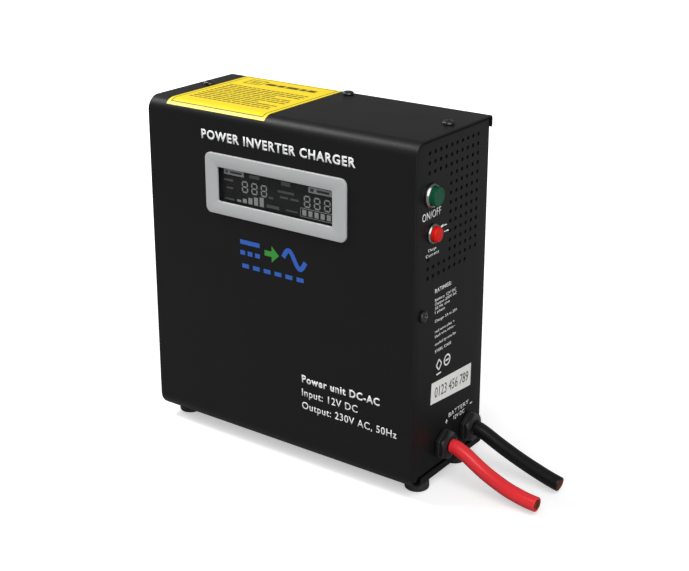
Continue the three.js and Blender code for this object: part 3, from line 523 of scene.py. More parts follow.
def strands_tree():
    """Ends of wire strands, packed in rows on a round cut end that faces along a direction."""
    tree = Tree("Wire strands", Strand_diameter="Float", Bundle_radius="Float", Centre="Vector", Facing="Vector",
                Across="Int")
    given = tree.given
    side = tree.sum("MULTIPLY", given("Bundle radius"), 2)
    rise = tree.sum("MULTIPLY", given("Strand diameter"), sqrt(3) / 2)
    size_v = tree.sum("MULTIPLY", rise, tree.sum("SUBTRACT", given("Across"), 1))
    size_u = tree.sum("MULTIPLY", given("Strand diameter"), tree.sum("SUBTRACT", given("Across"), 1))
    grid = tree.add("GeometryNodeMeshGrid", {"Size X": size_u, "Size Y": size_v,
                                             "Vertices X": given("Across"), "Vertices Y": given("Across")})
    index = tree.add("GeometryNodeInputIndex").outputs[0]
    row = tree.sum("MODULO", index, given("Across"))
    odd = tree.sum("MODULO", row, 2)
    shift = tree.add("ShaderNodeCombineXYZ", {"X": tree.sum("MULTIPLY", odd,
                                                            tree.sum("MULTIPLY", given("Strand diameter"), 0.5))})
    packed = tree.add("GeometryNodeSetPosition", {"Geometry": grid.outputs[0], "Offset": shift.outputs[0]})
    where = tree.add("GeometryNodeInputPosition").outputs[0]
    reach = tree.add("ShaderNodeVectorMath", {0: where}, operation="LENGTH").outputs["Value"]
    outside = tree.sum("GREATER_THAN", tree.sum("ADD", reach, tree.sum("MULTIPLY", side, 0.04)),
                       given("Bundle radius"))
    kept = tree.add("GeometryNodeDeleteGeometry", {"Geometry": packed.outputs[0], "Selection": outside},
                    domain="POINT")
    strand = tree.add("GeometryNodeMeshCone", {"Radius Bottom": tree.sum("MULTIPLY", given("Strand diameter"), 0.5),
                                               "Radius Top": tree.sum("MULTIPLY", given("Strand diameter"), 0.34)},
                      Vertices=8, Depth=1.2 * MM)
    length = tree.add("FunctionNodeRandomValue", data_type="FLOAT", Seed=4)
    length.inputs[2].default_value = 0.82
    length.inputs[3].default_value = 1.12
    scale = tree.add("ShaderNodeCombineXYZ", {"Z": length.outputs[1]}, X=1, Y=1)
    copies = tree.add("GeometryNodeInstanceOnPoints", {"Points": kept.outputs[0], "Instance": strand.outputs[0],
                                                       "Scale": scale.outputs[0]})
    turn = tree.add("FunctionNodeAlignRotationToVector", {"Vector": given("Facing")}, axis="Z")
    moved = tree.add("GeometryNodeTransform", {"Geometry": copies.outputs[0], "Translation": given("Centre"),
                                               "Rotation": turn.outputs[0]})
    return tree.close(moved.outputs[0])


def points_piece(name, places):
    """Loose points with the way that each faces, for copies to stand on. Places are in case coordinates."""
    data = bpy.data.meshes.new(name)
    data.from_pydata([TO_ROW @ Vector(place) for place, _ in places], [], [])
    facing = data.attributes.new("facing", "FLOAT_VECTOR", "POINT")
    for item, (_, way) in zip(facing.data, places):
        item.vector = way
    piece = bpy.data.objects.new(name, data)
    bpy.context.scene.collection.objects.link(piece)
    return piece


def master(shape, name):
    """A piece to be copied, drawn round the origin in millimetres."""
    piece = shape.made(name)
    piece.data.transform(TO_ROW.inverted())
    piece.data.transform(Matrix.Diagonal((MM, MM, MM, 1)))
    return piece


def scattered(name, piece, places, material, spin=0.0, seed=0):
    """One plain mesh of copies of a master piece, which is used up."""
    copies = copies_tree().run(points_piece(name, places), material, Piece=piece, Spin=spin, Spin_seed=seed)
    bpy.data.objects.remove(piece)
    return copies


# ---------------------------------------------------------------- settings


def colour_setting(name, description, default):
    return FloatVectorProperty(name=name, description=description, subtype="COLOR", default=default, min=0, max=1)


def length_setting(name, description, default, least=0.0):
    return FloatProperty(name=name, description=description, unit="LENGTH", default=default, min=least)


def level_setting(name, description, default):
    return FloatProperty(name=name, description=description, default=default, min=0)


class CaseSettings(bpy.types.PropertyGroup):
    coat_colour: colour_setting("Coat colour", "Colour of the powder coat", (0.0066, 0.0066, 0.007))
    coat_roughness: FloatProperty(name="Coat roughness", description="How dull the powder coat is", subtype="FACTOR",
                                  default=0.44, min=0, max=1)
    coat_grain: length_setting("Coat grain", "Size of the powder coat's grain", 0.0006, 0.0001)


class VentSettings(bpy.types.PropertyGroup):
    columns: IntProperty(name="Columns", description="Holes from front to back", default=10, min=1)
    rows: IntProperty(name="Rows", description="Holes from bottom to top", default=14, min=1)
    pitch_back: length_setting("Pitch back", "Spacing from front to back", 0.0065)
    pitch_up: length_setting("Pitch up", "Spacing upwards", 0.0063)
    radius: length_setting("Hole radius", "Radius of a ventilation hole", 0.0014)


class ControlSettings(bpy.types.PropertyGroup):
    green: colour_setting("Power cap", "Colour of the power button", (0.004, 0.075, 0.038))
    red: colour_setting("Current cap", "Colour of the current button", (0.62, 0.01, 0.005))


class LeadSettings(bpy.types.PropertyGroup):
    diameter: length_setting("Lead diameter", "Outside diameter of a battery lead", 0.01, 0.002)
    red: colour_setting("Positive sheath", "Colour of the positive lead", (0.78, 0.026, 0.034))
    black: colour_setting("Negative sheath", "Colour of the negative lead", (0.007, 0.007, 0.008))


class LabelSettings(bpy.types.PropertyGroup):
    print_colour: colour_setting("Print", "Colour of the printed lettering", (0.85, 0.86, 0.87))
    sign_blue: colour_setting("Sign blue", "Blue of the front sign", (0.02, 0.105, 0.47))
    sign_green: colour_setting("Sign green", "Green of the front sign", (0.03, 0.27, 0.03))
    yellow: colour_setting("Label yellow", "Colour of the label on the top", (0.88, 0.66, 0.004))


class StudioSettings(bpy.types.PropertyGroup):
    lens: FloatProperty(name="Lens", description="Focal length in millimetres", default=69.92, min=10)
    floor: colour_setting("Floor", "Colour of the floor", (0.8, 0.8, 0.8))
    floor_glow: level_setting("Floor glow", "How far the floor near the inverter is lifted to white", 0.42)
    dome: level_setting("Dome", "Brightness of the surrounding light", 0.24)
    softbox: level_setting("Softbox", "Power of the upper softbox", 14)
    fill: level_setting("Front fill", "Power of the light beside the camera", 29)
    rear_fill: level_setting("Rear fill", "Power of the light behind the left end", 9)
    end_glow: level_setting("End glow", "Power of the low light behind the right end", 0.12)


# ---------------------------------------------------------------- stage and leads


CAMERA_PLACE = (636.15, -654.5, 445.05)
CAMERA_YAW, CAMERA_PITCH = -35.634, 18.195  # degrees, from +Y towards +X and down
CAMERA_SHIFT = -0.1
FLOOR_R = 4000
BACKDROP = 1.05     # brightness of the surroundings as the camera sees them
SHADE_START, SHADE_END = 0.25, 1.3  # metres from the middle between which the floor fades to white
BOUNCE = 0.42       # share of the floor's colour that lights the object


def area_light(name, place, target, size, power):
    data = bpy.data.lights.new(name, "AREA")
    data.shape = "RECTANGLE"
    data.size, data.size_y = size
    data.energy = power
    light = bpy.data.objects.new(name, data)
    light.location = TO_ROW @ Vector(place)
    light.rotation_euler = (TO_ROW @ Vector(target) - light.location).to_track_quat("-Z", "Y").to_euler()
    bpy.context.scene.collection.objects.link(light)


def floor_paint(colour, glow):
    """A pale floor that stays white to the eye far from the lights and keeps its soft shadows near the case."""
    material = bpy.data.materials.new("studio floor")
    material.use_nodes = True
    nodes, links = material.node_tree.nodes, material.node_tree.links
    shader = nodes["Principled BSDF"]
    socket(shader, "Roughness", 0.8)
    socket(shader, "Specular IOR Level", 0.0)
    socket(shader, "Emission Color", (1, 1, 1, 1))
    place = nodes.new("ShaderNodeTexCoord")
    reach = nodes.new("ShaderNodeVectorMath")
    reach.operation = "LENGTH"
    links.new(place.outputs["Object"], reach.inputs[0])
    lift = nodes.new("ShaderNodeMapRange")
    for key, value in (("From Min", SHADE_START), ("From Max", SHADE_END), ("To Min", glow), ("To Max", 1.0)):
        socket(lift, key, value)
    links.new(reach.outputs["Value"], lift.inputs["Value"])
    ray = nodes.new("ShaderNodeLightPath")
    seen = nodes.new("ShaderNodeMath")
    seen.operation = "MULTIPLY"
    links.new(lift.outputs[0], seen.inputs[0])
    links.new(ray.outputs["Is Camera Ray"], seen.inputs[1])
    links.new(seen.outputs[0], shader.inputs["Emission Strength"])
    pale = nodes.new("ShaderNodeMix")
    pale.data_type = "RGBA"
    pale.inputs[6].default_value = [channel * BOUNCE for channel in colour] + [1]
    pale.inputs[7].default_value = (*colour, 1)
    links.new(ray.outputs["Is Camera Ray"], pale.inputs[0])
    links.new(pale.outputs[2], shader.inputs["Base Color"])
    return material


class INVERTER_OT_stage(bpy.types.Operator):
    """Build the floor, the studio light and the camera"""
    bl_idname = "inverter.stage"
    bl_label = "Stage"

    def execute(self, context):
        settings = context.scene.inverter_studio
        scene = context.scene
        scene.view_settings.view_transform = "Standard"
        camera = bpy.data.cameras.new("camera")
        camera.lens = settings.lens
        camera.sensor_width = 36
        camera.shift_y = CAMERA_SHIFT
        eye = bpy.data.objects.new("camera", camera)
        eye.location = TO_ROW @ Vector(CAMERA_PLACE)
        yaw, pitch = radians(CAMERA_YAW), radians(CAMERA_PITCH)
        ahead = Vector((cos(pitch) * sin(yaw), cos(pitch) * cos(yaw), -sin(pitch)))
        eye.rotation_euler = ahead.to_track_quat("-Z", "Y").to_euler()
        scene.collection.objects.link(eye)
        scene.camera = eye
        ground = Shape()
        turns = [2 * pi * i / 64 for i in range(64)]
        ground.face([(FLOOR_R * cos(turn), FLOOR_R * sin(turn), FLOOR - 0.05) for turn in turns])
        floor = ground.made("floor", outwards=False)
        floor.data.materials.append(floor_paint(settings.floor, settings.floor_glow))
        world = bpy.data.worlds.new("studio")
        world.use_nodes = True
        nodes, links = world.node_tree.nodes, world.node_tree.links
        nodes.clear()
        output = nodes.new("ShaderNodeOutputWorld")
        glow = nodes.new("ShaderNodeBackground")
        glow.inputs["Color"].default_value = (1, 1, 1, 1)
        ray = nodes.new("ShaderNodeLightPath")
        level = nodes.new("ShaderNodeMapRange")
        level.inputs["To Min"].default_value = settings.dome
        level.inputs["To Max"].default_value = BACKDROP
        links.new(ray.outputs["Is Camera Ray"], level.inputs["Value"])
        links.new(level.outputs[0], glow.inputs["Strength"])
        links.new(glow.outputs[0], output.inputs[0])
        scene.world = world
        area_light("upper softbox", (-683, -312, 1217), (110, 0, 180), (0.5, 0.35), settings.softbox)
        area_light("front fill", (1150, -850, 1050), (110, 20, 100), (1.8, 1.8), settings.fill)
        area_light("rear fill", (-1400, 500, 450), (0, 60, 110), (0.8, 0.8), settings.rear_fill)
        area_light("end glow", (620, 560, 60), (219, 60, 20), (0.35, 0.2), settings.end_glow)
        return {"FINISHED"}


# Each lead's route from its gland: along X, along Y, and up from the floor.
POSITIVE_ROUTE = [
    (0, 0, 27.5), (1.8, 0, 27.5), (4, -0.05, 27.1), (7, -0.15, 26.1), (11.5, -0.3, 24.2), (15.5, -0.6, 22.1),
    (20.5, -1, 19.5), (26.5, -1.5, 16.7), (32.5, -2, 14.4), (38.5, -2.5, 12.4), (44.5, -3, 10.7), (50.5, -3.4, 9.5),
    (56.5, -3.8, 8.6), (62, -4.1, 8.1), (67, -4.4, 7.9),
]
NEGATIVE_ROUTE = [
    (0, 0, 27.5), (1.8, 0, 27.5), (4, -0.05, 26.9), (7, -0.1, 25.8), (12, -0.4, 23.8), (17, -0.8, 21.8),
    (23, -1.2, 19.6), (28, -1.6, 17.9), (33, -2, 16.3), (38, -2.4, 14.8), (43, -2.8, 13.4), (48, -3.2, 12.1),
    (53, -3.5, 10.8), (58, -3.8, 9.6), (62.5, -4, 8.6), (67, -4.2, 7.8),
]


def smooth_path(points, steps=3):
    """A smooth line through points, with a few more between each pair."""
    line = [Vector(point) for point in points]
    line = [line[0] * 2 - line[1], *line, line[-1] * 2 - line[-2]]
    path = []
    for a, b, c, d in zip(line, line[1:], line[2:], line[3:]):
        for i in range(steps):
            t = i / steps
            path.append((b * 2 + (c - a) * t + (a * 2 - b * 5 + c * 4 - d) * t * t
                         + (b * 3 - a - c * 3 + d) * t ** 3) / 2)
    return path + [line[-2]]


def tube_rings(path, section):
    """Rings of a closed section, given as (radius, shift along the path) for each ring, along a path."""
    rings = []
    side = Vector((0, 1, 0))
    for i, point in enumerate(path):
        ahead = (path[min(i + 1, len(path) - 1)] - path[max(i - 1, 0)]).normalized()
        up = ahead.cross(side).normalized()
        across = up.cross(ahead).normalized()
        rings.append((point, ahead, across, up))
    return [[point + ahead * shift + (across * cos(2 * pi * k / 40) + up * sin(2 * pi * k / 40)) * r
             for k in range(40)] for (r, shift), (point, ahead, across, up) in
            [(entry, rings[index]) for index, entry in section]]


class INVERTER_OT_leads(bpy.types.Operator):
    """Build the two battery leads, each a sheath with its copper strands showing at the cut end"""
    bl_idname = "inverter.leads"
    bl_label = "Battery leads"

    def execute(self, context):
        settings = context.scene.inverter_leads
        radius = settings.diameter / MM / 2
        copper = finish("bare copper strands", (0.55, 0.22, 0.11), 0.35, metallic=1.0, grain=0.3, depth=0.004,
                        patch=1.5)
        for name, colour, route in (("positive", settings.red, POSITIVE_ROUTE),
                                    ("negative", settings.black, NEGATIVE_ROUTE)):
            start = Vector((case_box(f"{name}_gland_nut")[1].x + CLEARANCE, middle(f"{name}_gland_nut").y, 0))
            path = [start + Vector((dx, dy, up + FLOOR)) for dx, dy, up in smooth_path(route)]
            last = len(path) - 1
            section = [(0, (0.01, 0)), (0, (radius - 0.25, 0)), (0, (radius, 0.25))]
            section += [(i, (radius, 0)) for i in range(1, last)]
            section += [(last, (radius, -0.35)), (last, (radius - 0.12, -0.08)), (last, (radius - 0.4, 0)),
                        (last, (radius - 1.45, 0)), (last, (radius - 1.55, -0.15)), (last, (radius - 1.55, -1.6)),
                        (last, (0.01, -1.6))]
            sheath = Shape().loft(tube_rings(path, section), closed=False).made(f"{name}_lead_sheath")
            smooth(sheath, 50)
            skin = finish(f"{name} sheath", colour, 0.24, grain=1.2, depth=0.004, mottle=0.05, patch=9, spread=0.04,
                          Specular_IOR_Level=0.5 if name == "positive" else 0.32)
            placed(sheath, "case", f"lead_{'red' if name == 'positive' else 'black'}", skin, f"{name}_lead")
            ahead = (path[-1] - path[-2]).normalized()
            ends = points_piece(f"{name}_lead_strands", [(path[-1], ahead)])
            strands_tree().run(ends, copper, Strand_diameter=0.42 * MM, Bundle_radius=(radius - 1.5) * MM, Across=25,
                               Centre=TO_ROW @ (path[-1] - ahead * 0.75), Facing=ahead)
            placed(ends, "case", "brass", copper)
            line = [TO_ROW @ point for point in path]
            length = sum((b - a).length for a, b in zip(line, line[1:]))
            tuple(line[0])
        return {"FINISHED"}


# ---------------------------------------------------------------- case


def cover_outline(inset):
    """The wrap-round sheet's section in (y, z), from the top lip round the front to the bottom lip."""
    points = [(DEPTH - inset, HEIGHT - REAR_LIP)]
    points += arc(DEPTH - REAR_BEND, HEIGHT - REAR_BEND, REAR_BEND - inset, 0, 90, 7)
    points += arc(TOP_BEND, HEIGHT - TOP_BEND, TOP_BEND - inset, 90, 180, 17)
    points += arc(BOTTOM_BEND, BOTTOM_BEND, BOTTOM_BEND - inset, 180, 270, 17)
    points += arc(DEPTH - REAR_BEND, REAR_BEND, REAR_BEND - inset, 270, 360, 7)
    return points + [(DEPTH - inset, REAR_LIP)]


class INVERTER_OT_cover(bpy.types.Operator):
    """Build the wrap-round cover with its cut-out, screw holes, rear lips and bottom side strips"""
    bl_idname = "inverter.cover"
    bl_label = "Cover"

    def execute(self, context):
        outline = cover_outline(0) + cover_outline(SHEET)[::-1]
        cover = Shape().slab(outline, 0, WIDTH, "x").made("cover_sheet")
        for x in (0, WIDTH - SHEET):
            back = DEPTH - REAR_BEND
            strip = [(BOTTOM_BEND, 0.4), (back, 0.4), (back, 4.0), (back - 0.8, 4.8), (BOTTOM_BEND + 2.2, 4.8),
                     (BOTTOM_BEND + 0.6, 4.2)]
            combined(cover, Shape().slab(strip, x, x + SHEET, "x").made("strip"), "UNION")
        low, high = case_box("display_bezel")
        tool = Shape()
        tool.slab(rectangle(low.x + 7, low.z + 4, high.x - 7, high.z - 4), -3, 3, "y")
        for node in ("top_screw_left", "top_screw_rear", "top_screw_right"):
            tool.drill(2.3, (middle(node).x, middle(node).y, HEIGHT), "z")
        for place in ("front_left", "front_right", "rear_left", "rear_right"):
            foot = middle(f"foot_{place}")
            tool.drill(2.3, (foot.x, foot.y, 0), "z")
        combined(cover, tool.made("cuts"), "DIFFERENCE")
        bevelled(cover, 0.34, 3, 40)
        placed(cover, "case", "black_coat", powder_coat(), "cover")
        return {"FINISHED"}


def panel_line(inset):
    """An end panel's edge in (y, z), from its front tongue up, over the top and down the back."""
    wall = SHEET + CLEARANCE + inset
    points = arc(BOTTOM_BEND, BOTTOM_BEND, BOTTOM_BEND - wall, 180 + TONGUE, 180, 9)
    points += arc(TOP_BEND, HEIGHT - TOP_BEND, TOP_BEND - wall, 180, 90, 13)
    corner = SHEET + CLEARANCE + REAR_BEND
    points += arc(DEPTH - corner, HEIGHT - corner, REAR_BEND - inset, 90, 0, 6)
    return points + [(DEPTH - wall, PANEL_BOTTOM)]


def end_panel(name, face, inward):
    """An end panel as a tray: a flat face whose edges bend into flanges."""
    bend = 1.7
    tray = Shape()
    deep = panel_line(0)[8:]
    tray.loft([[(face + inward * FLANGE, y, z) for y, z in deep], [(face + inward * bend, y, z) for y, z in deep]],
              closed=False, ends=False, ring_closed=False)
    rings = []
    for i in range(7):
        turn = radians(90 * i / 6)
        depth = bend * (1 - sin(turn))
        rings.append([(face + inward * depth, y, z) for y, z in panel_line(bend * (1 - cos(turn)))])
    tray.loft(rings, closed=False, ends=False, ring_closed=False)
    tray.face(rings[-1] + [(face, BOTTOM_BEND - SHEET, PANEL_BOTTOM)])
    sheet = tray.made(name, weld=0.01)
    facing = sum(polygon.normal.x * polygon.area for polygon in sheet.data.polygons)
    if facing * inward > 0:
        sheet.data.flip_normals()
    return thickened(sheet, SHEET)


def drill_screws(shape, side, face):
    """Tools for the holes of an end panel's side and top screws."""
    screw = middle(f"side_screw_{side}")
    shape.drill(SCREW_HOLE_R, (face, screw.y, screw.z), "x")
    screw = middle(f"top_screw_{side}")
    shape.drill(SCREW_HOLE_R, (screw.x, screw.y, HEIGHT - 2), "z", up=2)


class INVERTER_OT_end_panels(bpy.types.Operator):
    """Build both end panels: the right one perforated, the left one with the fan's grille and the sockets' holes"""
    bl_idname = "inverter.end_panels"
    bl_label = "End panels"

    def execute(self, context):
        vents = context.scene.inverter_vents
        right = end_panel("right_panel_sheet", RIGHT_FACE, -1)
        holes = Shape()
        for node in ("power_button_body", "current_button_body", "positive_gland_locknut", "negative_gland_locknut"):
            low, high = case_box(node)
            r = 7.85 if "gland" in node else (high.y - low.y) / 2 + CLEARANCE
            centre = (RIGHT_FACE, middle(node).y, middle(node).z)
            holes.drill(r, centre, "x", 40)
        drill_screws(holes, "right", RIGHT_FACE)
        combined(right, holes.made("holes"), "DIFFERENCE")
        first = Vector((RIGHT_FACE, 17, HEIGHT - 9.6 - (vents.rows - 1) * vents.pitch_up / MM))
        perforation_tree().run(
            right, powder_coat(), Columns=vents.columns, Rows=vents.rows, Pitch_back=vents.pitch_back,
            Pitch_up=vents.pitch_up, Hole_radius=vents.radius, First_hole=TO_ROW @ first,
            Clear_low=TO_ROW @ Vector((0, 0, HEIGHT - 84)), Clear_high=TO_ROW @ Vector((0, 40, HEIGHT - 26)),
            Short_from=(TO_ROW @ Vector((0, 66, 0))).y)
        smooth(right, 28)
        placed(right, "case", "black_coat", powder_coat(), "right_end_panel")

        left = end_panel("left_panel_sheet", LEFT_FACE, 1)
        fan = middle("fan_frame")
        cuts = Shape()
        half = 2
        for radius in (11, 18, 25, 32):
            bridge = 4 / radius / 2 * 180 / pi + 3.5
            count = max(8, radius)
            for quarter in range(4):
                start, stop = 45 + 90 * quarter + bridge, 135 + 90 * quarter - bridge
                slot = []
                for reach, a, b, turn in ((half, start, stop, 0), (-half, stop, start, 180)):
                    at = radians(b)
                    end = (fan.y + radius * cos(at), fan.z + radius * sin(at))
                    slot += arc(fan.y, fan.z, radius + reach, a, b, count)
                    slot += arc(*end, half, b + turn, b + turn + 180, 7)[1:-1]
                cuts.slab(slot, LEFT_FACE - 3, LEFT_FACE + 4, "x")
        for place in ("lower_front", "lower_rear", "upper_front", "upper_rear"):
            screw = middle(f"fan_screw_{place}")
            cuts.drill(SCREW_HOLE_R, (LEFT_FACE, screw.y, screw.z), "x")
        drill_screws(cuts, "left", LEFT_FACE)
        outlet, inlet, reset = middle("mains_outlet"), middle("mains_inlet"), middle("breaker_nut")
        cuts.drill(22.65, (LEFT_FACE, outlet.y, outlet.z), "x", 56)
        cuts.slab(rounded(inlet.y, inlet.z, 28.7, 24.7, 2), LEFT_FACE - 4, LEFT_FACE + 4, "x")
        cuts.drill(5.35, (LEFT_FACE, reset.y, reset.z), "x", 32)
        combined(left, cuts.made("cuts"), "DIFFERENCE")
        smooth(left, 28)
        placed(left, "case", "black_coat", powder_coat(), "left_end_panel")
        repaint(powder_coat(), "rear_panel")
        return {"FINISHED"}


# ---------------------------------------------------------------- screws and feet


def pan_head(head, height, shank, length):
    """A pan-head screw with a cross recess, its seat at the origin and its head towards +Z."""
    shape = Shape()
    profile = [(0, -length), (shank - 0.5, -length), (shank, -length + 0.6), (shank, -0.1), (head - 0.25, 0),
               (head, 0.22)]
    profile += [(head - 0.02, height * 0.34)]
    profile += [(head * cos(radians(a)) ** 0.8, height * (0.36 + 0.64 * sin(radians(a))))
                for a in (18, 34, 50, 66, 80)]
    profile += [(0, height)]
    shape.turn(profile, (0, 0, 0), "z", 32)
    screw = master(shape, "screw blank")
    blade, wing = head * 0.56, head * 0.13
    for turned in (False, True):
        low = rectangle(-blade * 0.45, -wing * 0.6, blade * 0.45, wing * 0.6)
        high = rectangle(-blade, -wing, blade, wing)
        if turned:
            low, high = [(-v, u) for u, v in low], [(-v, u) for u, v in high]
        arm = Shape().loft([[(u, v, height - 1.5) for u, v in low], [(u, v, height + 0.5) for u, v in high]],
                           closed=False)
        combined(screw, master(arm, "recess"), "DIFFERENCE")
    return smooth(screw, 30)


class INVERTER_OT_screws(bpy.types.Operator):
    """Build the pan-head screws of the case and the fan"""
    bl_idname = "inverter.screws"
    bl_label = "Screws"

    def execute(self, context):
        up, right, left = Vector((0, 0, 1)), Vector((1, 0, 0)), Vector((-1, 0, 0))
        case_places = []
        for node in ("top_screw_left", "top_screw_rear", "top_screw_right"):
            case_places.append((Vector((middle(node).x, middle(node).y, HEIGHT + CLEARANCE)), up))
        side = middle("side_screw_right")
        case_places.append((Vector((RIGHT_FACE + CLEARANCE, side.y, side.z)), right))
        side = middle("side_screw_left")
        case_places.append((Vector((LEFT_FACE - CLEARANCE, side.y, side.z)), left))
        screws = scattered("case_screws", pan_head(4, 2.4, 1.9, 7), case_places, black_oxide(), spin=pi, seed=3)
        placed(screws, "case", "black_screw", black_oxide(), "top_screw_left", "top_screw_rear", "top_screw_right",
               "side_screw_right", "side_screw_left")
        names = [f"fan_screw_{place}" for place in ("lower_front", "lower_rear", "upper_front", "upper_rear")]
        places = [(Vector((LEFT_FACE - CLEARANCE, middle(node).y, middle(node).z)), left) for node in names]
        screws = scattered("fan_screws", pan_head(3.8, 2.2, 1.9, 10), places, black_oxide(), spin=pi, seed=5)
        placed(screws, "case", "black_screw", black_oxide(), *names)
        return {"FINISHED"}


class INVERTER_OT_feet(bpy.types.Operator):
    """Build the four rubber feet and the screws in them"""
    bl_idname = "inverter.feet"
    bl_label = "Feet"

    def execute(self, context):
        names = [f"foot_{place}" for place in ("front_left", "front_right", "rear_left", "rear_right")]
        places = [(Vector((middle(node).x, middle(node).y, 0)), Vector((0, 0, -1))) for node in names]
        low, high = case_box(names[0])
        r, tall = (high.x - low.x) / 2, -low.z
        profile = [(2.25, 2.6), (4.1, 2.6), (4.2, 2.9), (4.3, tall - 0.3), (4.6, tall - 0.05), (5.0, tall),
                   (r - 1.6, tall), (r - 0.8, tall - 0.2), (r - 0.3, tall - 0.7), (r - 0.1, tall - 1.4),
                   (r - 0.2, 3.6), (r - 0.5, 1), (r - 0.9, 0.45), (r - 1.4, 0.35), (2.25, 0.35), (2.25, 2.6)]
        foot = Shape().turn(profile, (0, 0, 0), "z", 44)
        feet = scattered("rubber_feet", smooth(master(foot, "foot blank"), 40), places, rubber())
        placed(feet, "case", "foot_rubber", rubber(), *names)
        screws = [(place - Vector((0, 0, 2.775)), way) for place, way in places]
        heads = scattered("foot_screws", pan_head(3.6, 2.2, 1.9, 8), screws, black_oxide(), spin=pi, seed=8)
        placed(heads, "case", "black_screw", black_oxide(), *[node.replace("foot_", "foot_screw_") for node in names])
        return {"FINISHED"}


# ---------------------------------------------------------------- display


SEGMENTS = [
    (0.12, 0.94, 0.88, 0.94), (0.9, 0.9, 0.9, 0.54), (0.9, 0.46, 0.9, 0.1), (0.12, 0.06, 0.88, 0.06),
    (0.1, 0.46, 0.1, 0.1), (0.1, 0.9, 0.1, 0.54), (0.16, 0.5, 0.84, 0.5),
]


def bar(shape, u0, v0, u1, v1, half, y, thick=0.04):
    """A pointed bar from one point to another on the display's face."""
    length = hypot(u1 - u0, v1 - v0)
    du, dv = (u1 - u0) / length, (v1 - v0) / length
    nu, nv = -dv * half, du * half
    points = [(u0, v0), (u0 + du * half + nu, v0 + dv * half + nv), (u1 - du * half + nu, v1 - dv * half + nv),
              (u1, v1),
              (u1 - du * half - nu, v1 - dv * half - nv), (u0 + du * half - nu, v0 + dv * half - nv)]
    shape.slab(points[::-1], y - thick, y, "y")


